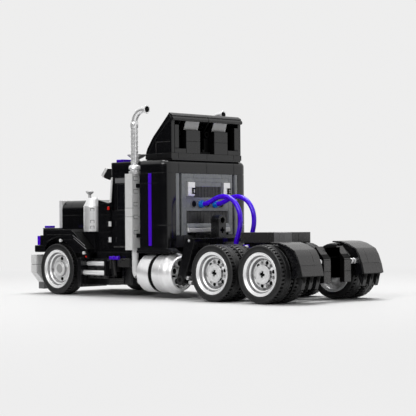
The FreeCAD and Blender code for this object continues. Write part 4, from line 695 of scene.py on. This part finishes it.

# Tanks: painted shade in the rear ends' recesses and holes, beads round the drums and black straps
TANK = (40.4, 20.0)
pair("tank_end_shadows", PIT, 0.04,
     lathe([(0, 4.3), (0, 11.1), (0.3, 11.1), (0.3, 4.3)], (-17.5, *TANK), "x", 64, True),
     *[plug("x", (-21.0, *polar(8.2, math.radians(60 * i + 14), TANK)), 2.25, 1.2, 28) for i in range(6)], weld=True)
pair("tank_beads", SILVER, 0.03, *[
    lathe([(0, radius - 0.3), (0, radius), (0.12, radius + 0.08), (0.5, radius + 0.08), (0.62, radius),
           (0.62, radius - 0.3)], (x, *TANK), "x", 96, True)
    for x, radius in ((-10.6, 15.25), (9.4, 15.22))], weld=True)
pair("tank_straps", PIT, 0.05,
     lathe([(-2.2, 14.3), (-2.2, 15.0), (-2.0, 15.12), (1.2, 15.12), (1.4, 15.0), (1.4, 14.3)],
           (0.0, *TANK), "x", 96, True), weld=True, replaced=("tank_bands",))

# Steps: two rods on their brackets and clips, link pieces, and the side boxes behind them
pair("step_rod_tubes", SILVER, 0.04, *[
    lathe([(0, 0), (0, 1.5), (0.35, 1.95), (0.8, 2.05), (run - 0.8, 2.05), (run - 0.35, 1.95), (run, 1.5), (run, 0)],
          (54.9, y, z), "x", 32) for y, z, run in ((46.6, 26.5, 27.1), (51.0, 19.2, 27.7))],
     weld=True, replaced=("step_rods",))
stud = [(0, 0), (0, 1.8), (0.3, 2.0), (1.3, 2.0), (1.5, 1.8), (1.5, 0)]
pair("step_brackets", SATIN, 0.16,
     *[lathe(stud, (x, y, z), "z", 20) for x in (58.5, 66.5, 74.5)
       for y, z in ((44.0, 28.2), (44.0, 22.5), (47.6, 20.9), (47.6, 15.2))],
     *[(56.0, 81.8, 40.2, 47.6, low, low + 1.6) for low in (21.9, 14.4)], (56.0, 81.8, 40.2, 43.6, 29.2, 30.9),
     prism([(53.4, 31.0), (56.0, 31.0), (52.0, 16.0), (49.4, 16.0)], 44.2, 47.2),
     (48.6, 52.4, 41.0, 46.4, 20.0, 30.6))
pair("step_clips", DARK, 0.16, (52.6, 55.4, 46.0, 48.4, 22.8, 30.2), (54.4, 56.6, 49.6, 51.8, 15.8, 22.4),
     prism([(50.2, 29.4), (51.6, 29.4), (48.9, 17.4), (47.2, 17.4)], 46.2, 47.6))
pair("step_links", PURPLE, 0.3, (44.6, 49.2, 45.4, 48.2, 30.2, 32.8), (50.2, 54.6, 45.4, 48.2, 30.2, 32.8),
     plug("x", (44.0, 46.8, 31.5), 1.7, 1.5), plug("x", (49.6, 46.8, 31.5), 1.7, 1.5))
pair("side_box_plates", DARK2, 0.14, (32.2, 46.3, 45.9, 46.4, 24.3, 30.8), (31.7, 32.2, 27.0, 45.8, 24.3, 30.8),
     *[shape for span in ((9.5, 11.0), (11.2, 12.7), (12.9, 14.5))
       for shape in ((45.6, 62.4, 39.8, 40.5, *span), (45.1, 45.6, 27.0, 39.8, *span))])
pair("side_drums", BLACK, 0.1,
     lathe([(0, 0), (0, 6.0), (0.5, 6.8), (13.0, 6.8), (13.5, 6.0), (13.5, 0)], (41.4, 34.4, 10.2), "z", 40))
pair("step_panel_ribs", BLACK, 0.1, *[
    prism([(81.6, low), (81.3, (low + high) / 2), (81.6, high), (82.1, high), (82.1, low)], 7.6, 31.0, "z")
    for low, high in ((40.2, 46.6), (46.8, 50.8), (51.0, 54.9))])

# Nose: hood bricks, grille, ornament and the air cleaners with their slots
HOOD_SEAM = 66.8
hood = block((76.6, 136.2, -28.1, 28.1, 52.9, 79.5), (8.0, 8, lambda m, d: abs(d.x) > 0.9 and m.z > 79))
runs = spans(92.6, 109.0, 125.0)
cells = grid(runs, spans(-9.0, 9.0), [(HOOD_SEAM, ALL)]) + grid(runs, spans(0.0), [(ALL, HOOD_SEAM)])
single("hood_bricks", BLACK, 0.14, *bricks(hood, cells, 0.2))
pair("hood_side_tiles", DARK, 0.2, (80.2, 85.8, 28.0, 28.5, 56.8, 69.0))
single("grille_tiles", LIGHT, 0.14,
       *both((136.5, 139.9, 27.2, 28.3, 52.8, 79.6),
             *grid([(139.8, 143.0)], [(22.9, 24.3)], ((52.9, 59.0), (59.2, 65.4), (65.6, 70.9)))),
       (136.5, 139.9, -27.0, 27.0, 78.4, 79.6),
       *grid([(142.6, 143.3)], [(-22.8, 22.8)], ((67.6, 70.8), (52.9, 56.0))),
       *[(142.6, 143.3, y - 0.85, y + 0.85, 56.2, 67.4) for y in range(-22, 23, 4)])
single("hood_ornament_turned", WHITE, 0.08,
       lathe([(0, 3.0), (1.3, 3.0), (1.7, 1.6), (2.2, 1.35), (5.8, 1.35), (6.4, 2.2), (7.6, 3.4), (8.6, 3.5),
              (8.9, 3.1), (8.9, 0)], (132.0, 0, 79.2), "z", 32), weld=True, replaced=("hood_ornament",))
CLEANER = (87.0, 36.1)
profile = [(52.7, 7.7), (53.0, 8.15)]
for z in (54.9, 58.5, 69.2, 72.8):
    profile += [(z - 0.14, 8.15), (z - 0.12, 7.95), (z + 0.12, 7.95), (z + 0.14, 8.15)]
profile += [(74.0, 8.15), (74.3, 8.0), (77.8, 6.3), (80.6, 5.0), (81.1, 4.6), (81.2, 0)]
pair("air_cleaner_drums", DRUM, 0.04, lathe(profile, (*CLEANER, 0), "z", 72), weld=True, replaced=("air_cleaners",),
     angle=30)
slots = []
for angle in [math.radians(turn) for turn in (133.0, 43.0, 223.0, 313.0)]:
    for a, b, low, high in ((-1.6, -1.25, 0.0, 2.0), (1.25, 1.6, 0.0, 2.0), (-1.6, 1.6, 2.0, 2.35)):
        corners = [polar(depth, angle, polar(shift, angle + math.pi / 2, CLEANER))
                   for shift, depth in ((a, 7.7), (b, 7.7), (b, 8.17), (a, 8.17))]
        slots += [prism(corners, z + low, z + high, "z") for z in (70.0, 60.2, 55.3)]
pair("air_cleaner_slots", VENT, 0.04, *slots)

# Fenders: side plates, sloped and flat tops, lights and pins
SIDE = (51.8, 52.5)
pair("fender_side_plates", BLACK, 0.16, (96.4, 108.8, *SIDE, 46.2, 50.3), (96.4, 108.8, *SIDE, 50.5, 54.4),
     (109.0, 128.8, *SIDE, 50.5, 54.4), (129.0, 132.9, *SIDE, 40.6, 54.4), (133.1, 136.8, *SIDE, 41.2, 49.4),
     (136.9, 144.1, *SIDE, 36.0, 40.8), (130.6, 136.7, *SIDE, 35.8, 40.9),
     prism([(109.0, 50.3), (109.0, 48.4), (114.5, 48.7), (121.0, 47.2), (128.8, 44.2), (128.8, 50.3)], *SIDE),
     prism([(96.2, 54.3), (96.2, 47.2), (93.6, 45.5), (77.4, 36.0), (77.0, 36.0), (77.0, 38.2), (92.6, 52.2)], *SIDE))
pair("fender_slope_tiles", PIT, 0.14, *[
    prism(outline, *span) for span in ((44.1, 51.9), (36.2, 43.9), (28.2, 36.0)) for outline in (
        [(77.0, 38.1), (76.6, 38.4), (92.2, 52.4), (92.6, 52.0)],
        [(92.7, 52.2), (92.4, 52.6), (96.8, 55.0), (97.0, 54.5)])])
# Painted highlights: pale strips along the slope's side for the light that its ribs catch
pair("fender_slope_highlights", PALE, 0.1, *[
    prism([(94.2 + x, 50.3 + z), (94.6 + x, 49.9 + z), (79.2 + x, 41.2 + z), (78.8 + x, 41.6 + z)], 52.4, 52.8)
    for x, z in ((0.0, 0.0), (-1.2, -2.6))])
pair("fender_top_tiles", BLACK, 0.16,
     *grid(((97.1, 108.8), (109.0, 120.9), (121.1, 132.9)), ((28.2, 36.0), (36.2, 43.9), (44.1, 52.3)),
           [(54.3, 54.9)]),
     (119.4, 133.4, 38.0, 52.2, 54.9, 56.0), (133.1, 136.9, 28.2, 52.3, 49.4, 49.9),
     (137.0, 144.2, 28.2, 52.3, 40.9, 41.4))
pair("front_lights", PURPLE, 0.3, (136.9, 140.7, 44.2, 52.4, 41.5, 49.4))
pair("marker_tiles", PURPLE, 0.4, (126.6, 133.2, 44.4, 50.6, 56.1, 58.0), (49.8, 58.2, 20.0, 36.0, 109.7, 112.0),
     replaced=("marker_lights",))
pair("fender_pins", WHITE, 0.06, *[plug("y", (x, 50.6, z), 1.35, 2.4, 24, 0.2, 0.3)
                                   for x, z in ((110.2, 45.6), (80.6, 35.4))], weld=True)
pair("step_reflectors", RED, 0.05, plug("y", (78.4, 51.2, 32.4), 0.7, 1.0, 20, 0.2, 0.2), weld=True)
pair("pin_holders", BLACK, 0.16, (76.8, 82.6, 49.0, 51.6, 30.8, 37.6), (108.0, 112.4, 49.0, 51.4, 44.4, 48.6))

# Bumper: tiles over its face, ends and back, with feet and brackets
FACE, BACK = (149.3, 149.75), (141.7, 142.1)
single("bumper_tiles", LIGHT, 0.16,
       *grid([FACE], ((-51.8, -34.1), (-33.9, -17.1), (-16.9, 0.0), (0.2, 17.0), (17.2, 34.0), (34.2, 51.8)),
             [(25.1, 32.7)]),
       prism([(-51.8, 24.8), (-51.8, 18.7), (-44.2, 10.2), (44.2, 10.2), (51.8, 18.7), (51.8, 24.8)], *FACE, "x"),
       *both((142.1, 149.3, 51.9, 52.35, 18.5, 24.8), (142.1, 149.3, 51.9, 52.35, 25.1, 32.8),
             prism([(52.3, 18.2), (44.3, 9.6), (43.9, 10.0), (51.9, 18.5)], 142.1, 149.3, "x")),
       *grid([BACK], ((34.2, 51.8), (17.2, 34.0)), [(25.1, 32.7)]),
       prism([(17.2, 24.8), (51.8, 24.8), (51.8, 18.7), (44.2, 10.2), (17.2, 10.2)], *BACK, "x"),
       (142.0, 149.4, -51.9, 51.9, 32.8, 33.3))
pair("bumper_feet", PALE, 0.3, (142.4, 149.2, 34.2, 43.8, 3.9, 9.4))
pair("bumper_brackets", SATIN, 0.2, *[(134.0, 141.9, 28.0, 46.0, low, low + 3.0) for low in (12.0, 20.4, 28.0)],
     (130.0, 134.0, 26.0, 40.0, 12.0, 31.0))

# Rear guards: tiles bent along the guard's back, side plates and three claws on each
GUARD = [(-120.0, 44.9), (-128.4, 44.7), (-134.9, 43.1), (-142.5, 39.4), (-145.3, 34.9),
         (-147.8, 28.4), (-149.75, 20.6)]
TILE_THICK = 0.7
TILE_GAP = 0.12


def moved(a, b, gap=TILE_GAP):
    """A point moved a little towards another."""
    share = gap / math.dist(a, b)
    return (a[0] + (b[0] - a[0]) * share, a[1] + (b[1] - a[1]) * share)


def strip(points, inside, outside):
    """A tile bent along a line of (x, z) points, its outer face on the line."""
    offset = []
    for i, (x, z) in enumerate(points):
        before, after = points[max(i - 1, 0)], points[min(i + 1, len(points) - 1)]
        share = TILE_THICK / math.dist(before, after)
        offset.append((x + (after[1] - before[1]) * share, z + (after[0] - before[0]) * share))
    return prism(points + offset[::-1], inside, outside)


def claw(middle):
    """A claw that curves down to its tip below the guard's end."""
    rows = []
    for share in [t / 8 for t in range(9)]:
        z = 20.4 - 9.8 * share
        back = -149.3 + 1.3 * share + 2.6 * share * share
        front = back + 6.2 * (1 - share) ** 0.8 + 0.25
        half = 2.0 * (1 - share) ** 0.6 + 0.12
        outline = [(back + 0.35, -half), (back, -half * 0.5), (back, half * 0.5), (back + 0.35, half),
                   (front, half * 0.8), (front, -half * 0.8)]
        rows.append([(x, middle + y, z) for x, y in outline])
    verts, faces = skin(rows)
    return verts, faces + [tuple(range(6)), tuple(range(len(verts) - 6, len(verts)))[::-1]]


tiles = []
for low, high, widths in ((0, 3, [(24.1, 48.2)]), (3, 5, [(24.1, 31.9), (32.1, 48.2)]), (5, 6, [(24.1, 48.2)])):
    run = GUARD[low:high + 1]
    line = [moved(run[0], run[1])] + run[1:-1] + [moved(run[-1], run[-2])]
    tiles += [strip(line, *span) for span in widths]
pair("guard_tiles", DARK, 0.16, *tiles)
pair("guard_side_plates", BLACK, 0.16, *[prism(outline, *span) for span in ((47.9, 48.4), (23.6, 24.1)) for outline in (
    [(-133.7, 39.7), (-137.6, 41.2), (-142.2, 38.9), (-144.9, 34.7), (-146.4, 30.6), (-141.6, 28.6), (-139.4, 30.0),
     (-136.6, 36.0)],
    [(-141.5, 28.3), (-146.5, 30.3), (-147.3, 28.0), (-149.2, 20.4), (-140.2, 18.4), (-140.4, 24.0)],
    [(-120.2, 44.4), (-128.2, 44.2), (-134.4, 42.6), (-137.3, 41.3), (-133.5, 40.0),
     (-127.0, 43.1), (-120.2, 43.9)])])
pair("guard_claws", PIT, 0.12, *[shape for y in (28.0, 36.0, 44.0)
                                 for shape in (claw(y), (-149.4, -143.2, y - 2.9, y + 2.9, 20.0, 21.4))])

# Deck: its bricks, corner tiles, studded plates below, and the upright beam with its holes
deck = block((-106.3, -61.7, -16.3, 16.3, 43.9, 51.8), (3.0, 6, lambda m, d: abs(d.z) > 0.9 and m.x < -105))
single("deck_bricks", DARK, 0.16, *bricks(deck, grid(spans(-91.0, -75.4), spans(0.0), spans())))
single("deck_corner_tiles", PALE, 0.2,
       (-113.2, -108.0, 15.8, 23.9, 43.2, 51.7), (-107.8, -102.4, 16.2, 23.9, 43.2, 51.7))
single("deck_under_plates", SATIN, 0.16, (-104.0, -62.4, -12.0, 12.0, 40.4, 43.8),
       (-100.0, -66.0, -23.6, 23.6, 36.9, 38.4),
       *[plug("z", (x, y, 38.3), 2.4, 1.4, 20, 0.2, 0.2) for x in (-98.0, -90.0, -82.0, -74.0, -66.4)
         for y in (-20.0, -12.0, 12.0, 20.0)])
BEAM = (-27.35, -18.65)
HIGH_HOLE, CROSS_HOLE, LOW_HOLE = 61.4, 53.4, 45.4
ORIGIN = (0, 0, 0)
outer = [polar(4.3, math.pi * i / 12, (0, HIGH_HOLE)) for i in range(13)] + [(-4.3, 33.8), (4.3, 33.8)]
loops = [outer, circle(2.45, 28, (0, HIGH_HOLE)), circle(2.45, 28, (0, LOW_HOLE)),
         cross(2.4, 0.9, 0, (0, CROSS_HOLE))]
single("pinned_beam", SATIN, 0.22, *[pierced(loops, station, ORIGIN, "x") for station in BEAM],
       *[rings([(station, loop) for station in BEAM], ORIGIN, "x") for loop in loops],
       weld=True, replaced=("upright_beam",), angle=40)
single("beam_hole_rims", DARK, 0.06, *[
    lathe([(-27.6, 2.5), (-27.6, 3.3), (-27.1, 3.3), (-27.1, 2.5)], (0, 0, z), "x", 32, True)
    for z in (HIGH_HOLE, LOW_HOLE)])
single("beam_cross_back", PIT, 0.04, plug("x", (-24.2, 0, CROSS_HOLE), 2.9, 0.6, 28))

# Quarter arms between the tanks and the rear wheels, with their pins, and the hoses' sockets
pair("arm_plates", BLACK, 0.2,
     prism([(-43.8, 47.9), (-35.8, 47.9), (-25.2, 14.7), (-26.0, 12.4), (-28.8, 11.1), (-31.6, 11.7), (-32.8, 13.1),
            (-34.6, 18.0), (-44.2, 43.2)], 49.9, 50.6),
     prism([(-44.3, 47.6), (-44.3, 43.4), (-34.9, 18.2), (-34.4, 18.4), (-43.8, 43.6), (-43.8, 47.6)], 44.2, 49.8))
pair("arm_pin_rings", SATIN, 0.06,
     lathe([(0, 1.7), (0, 3.0), (0.3, 3.3), (0.9, 3.3), (0.9, 1.7)], (-29.4, 50.2, 15.6), "y", 32, True))
# Painted shade: a black plug filling the pin ring's hole
pair("arm_pin_hole_shade", PIT, 0.03, plug("y", (-29.4, 50.4, 15.6), 1.7, 0.5, 24), weld=True)
pair("arm_pins", STEEL, 0.05, *[plug("y", place, radius, run, 20, 0.3, 0.3) for place, radius, run in (
    ((-35.4, 46.0, 17.0), 1.5, 3.0), ((-37.4, 44.0, 13.6), 1.7, 4.0), ((-39.6, 50.4, 45.8), 0.9, 0.9))], weld=True)
pair("arm_carriers", SATIN, 0.2, (-39.6, -33.0, 42.0, 46.2, 11.6, 19.4), (-41.0, -26.0, 24.2, 43.0, 12.6, 17.4))
pair("hose_socket_turned", PURPLE, 0.1,
     lathe([(0, 2.0), (0, 3.6), (2.2, 3.6), (2.6, 3.2), (5.0, 3.2), (5.2, 2.0)], (-49.0, 8.0, 32.6), "z", 28, True),
     plug("z", (-71.0, 20.0, 38.4), 2.6, 3.6, 24, 0.4, 0.4), (-73.8, -68.4, 17.6, 23.4, 36.9, 38.6),
     weld=True, replaced=("hose_sockets",))
pair("deck_pins", WHITE, 0.05, plug("y", (-74.0, 22.4, 40.6), 1.4, 2.0, 20, 0.2, 0.2), weld=True)

# Tail and rails: bar tiles, pins, the plates across the frame's end and the rails' side tiles
pair("tail_bar_tiles", DARK, 0.2, (-144.0, -143.3, 8.2, 16.0, 14.6, 22.7), (-144.0, -143.3, 8.2, 16.0, 22.9, 31.2),
     prism([(-143.9, 31.6), (-143.3, 31.4), (-136.0, 40.8), (-136.4, 41.4)], 8.2, 16.0))
pair("tail_pins", STEEL, 0.06, *[
    lathe([(0, 0), (0, 1.9), (0.4, 2.2), (2.2, 2.2), (2.6, 1.9), (2.6, 0)], (-141.6, y, 30.0), "y", 24)
    for y in (17.9, 21.4)], weld=True)
pair("frame_end_tiles", PIT, 0.12, (-139.9, -139.4, 16.2, 23.8, 18.0, 25.4), (-139.9, -139.4, 16.2, 23.8, 25.6, 33.4),
     (-139.9, -139.4, -15.8, 15.8, 18.0, 33.2), (-139.6, -139.0, -8.4, 8.4, 33.3, 40.6))
runs = ((-138.0, -120.4), (-113.6, -72.4), (-65.6, -28.0), (-12.0, 60.0), (60.3, 111.4), (118.6, 141.0))
pair("rail_side_tiles", PIT, 0.14, *grid(runs, [(23.9, 24.35)], [(18.2, 33.0)]))

# Hoses: soft tubes from the back panel's pins down to the frame
HOSE_ROUTE = [(-15.0, 74.6), (-20.5, 75.3), (-29.0, 79.6), (-38.6, 80.6), (-47.4, 77.0), (-53.2, 69.4),
              (-54.6, 60.0), (-52.2, 50.8), (-49.0, 43.4), (-49.0, 37.0)]


def add_hose(name, y, node):
    curve = bpy.data.curves.new(name, "CURVE")
    curve.dimensions = "3D"
    curve.bevel_depth = 0.0019
    curve.bevel_resolution = 10
    curve.resolution_u = 16
    curve.use_fill_caps = True
    spline = curve.splines.new("NURBS")
    spline.points.add(len(HOSE_ROUTE) - 1)
    for point, (x, z) in zip(spline.points, HOSE_ROUTE):
        point.co = (x * MM, y * MM, z * MM, 1)
    spline.use_endpoint_u = True
    spline.order_u = 3
    hose = add_object(name, curve)
    curve.materials.append(HOSE)
    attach(hose, TRUCK)
    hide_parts(node)


add_hose("air_hose_left", 8.0, "hose_left")
add_hose("air_hose_right", -8.0, "hose_right")

# Floor: pale near the truck, fading into the backdrop's tone in the picture
FLOOR_RADIUS = 0.8
FLOOR_STEPS = 64
BACKDROP = (0.855, 0.853, 0.853, 1)
floor_mesh = bpy.data.meshes.new("floor")
floor_edge = [(x, y, 0) for x, y in circle(FLOOR_RADIUS, FLOOR_STEPS)]
floor_mesh.from_pydata([(0, 0, 0)] + floor_edge, [],
                       [(0, i + 1, (i + 1) % FLOOR_STEPS + 1) for i in range(FLOOR_STEPS)])
floor = add_object("floor", floor_mesh)
floor_material, tree, shader = new_material("studio_floor")
place = add_node(tree, "TexCoord", {}, "Object")
camera_ray = add_node(tree, "LightPath", {}, "Is Camera Ray")
fade = ramp(tree, add_node(tree, "VectorMath", {0: place}, "Value", operation="LENGTH"), 0.22, 0.75)
# Out of the picture, ahead of the truck on its left, the floor is dark to reflections and to soft light.
beside = add_node(tree, "VectorMath", {0: place, 1: (0.72, 0.69, 0.0)}, "Value", operation="DOT_PRODUCT")
shaded = maths(tree, "MULTIPLY", ramp(tree, beside, 0.2, 0.34), maths(tree, "SUBTRACT", 1.0, camera_ray))
feed(tree, shader, {"Base Color": mixed(tree, shaded, (0.76, 0.76, 0.76, 1), (0.01, 0.01, 0.01, 1)), "Roughness": 0.6,
                    "Specular IOR Level": 0.1})
glow = add_node(tree, "Emission", {"Color": BACKDROP}, "Emission")
seen = maths(tree, "MULTIPLY", fade, camera_ray)
surface = add_node(tree, "MixShader", {"Fac": seen, 1: shader.outputs["BSDF"], 2: glow}, "Shader")
feed(tree, tree.nodes["Material Output"], {"Surface": surface})
floor_mesh.materials.append(floor_material)

# Backdrop light: bright behind the truck and on its right, and dark on its left near the floor
scene = bpy.context.scene
scene.view_settings.view_transform = "Standard"
world = bpy.data.worlds.new("studio")
scene.world = world
world.use_nodes = True
sky = world.node_tree
towards = add_node(sky, "TexCoord", {}, "Generated")
leftward = add_node(sky, "VectorMath", {0: towards, 1: (0.12, 0.993, 0.0)}, "Value", operation="DOT_PRODUCT")
upward = add_node(sky, "SeparateXYZ", {"Vector": towards}, "Z")
dark_side = maths(sky, "MULTIPLY", ramp(sky, leftward, 0.0, 0.5), ramp(sky, upward, 0.1, 0.5, 1.0, 0.0))
shown = ramp(sky, dark_side, 0.0, 1.0, 0.9, 0.015)
lit = maths(sky, "MULTIPLY", shown, 0.3)
rays = sky.nodes.new("ShaderNodeLightPath").outputs
reflected = maths(sky, "MAXIMUM", rays["Is Glossy Ray"], rays["Is Transmission Ray"])
level = mixed(sky, rays["Is Camera Ray"], mixed(sky, reflected, lit, shown, "FLOAT"), BACKDROP[0], "FLOAT")
feed(sky, sky.nodes["Background"], {"Strength": level, "Color": (1, 0.998, 0.996, 1)})


def lamp(name, place, aim, power, width, height):
    data = bpy.data.lights.new(name, "AREA")
    data.shape = "RECTANGLE"
    data.size = width
    data.size_y = height
    data.energy = power
    thing = add_object(name, data)
    thing.location = place
    thing.rotation_euler = (Vector(aim) - Vector(place)).to_track_quat("-Z", "Y").to_euler()


lamp("overhead", (0.1, -0.2, 1.15), (0, 0, 0.05), 12.5, 0.75, 0.65)
lamp("left_key", (-0.4, 1.25, 0.8), (0, 0, 0.06), 8.0, 0.8, 0.6)

# Camera: its place and its length in pixels come from the wheels' places in the picture
PICTURE = 416
FOCAL_PIXELS = 1385.538
SENSOR = 36.0
camera_data = bpy.data.cameras.new("camera")
camera = add_object("camera", camera_data)
scene.camera = camera
camera_data.sensor_width = SENSOR
camera_data.lens = FOCAL_PIXELS / PICTURE * SENSOR
camera_data.clip_start = 0.05
camera_data.clip_end = 50
yaw, pitch, roll = math.radians(-46.347), math.radians(0.576), math.radians(-0.464)
forward = Vector((math.cos(pitch) * math.cos(yaw), math.cos(pitch) * math.sin(yaw), math.sin(pitch)))
level_right = forward.cross(Vector((0, 0, 1))).normalized()
level_up = level_right.cross(forward)
right = level_right * math.cos(roll) + level_up * math.sin(roll)
up = level_up * math.cos(roll) - level_right * math.sin(roll)
basis = Matrix((right, up, -forward)).transposed().to_4x4()
camera.matrix_world = Matrix.Translation((-0.784095, 0.80977, 0.060139)) @ basis
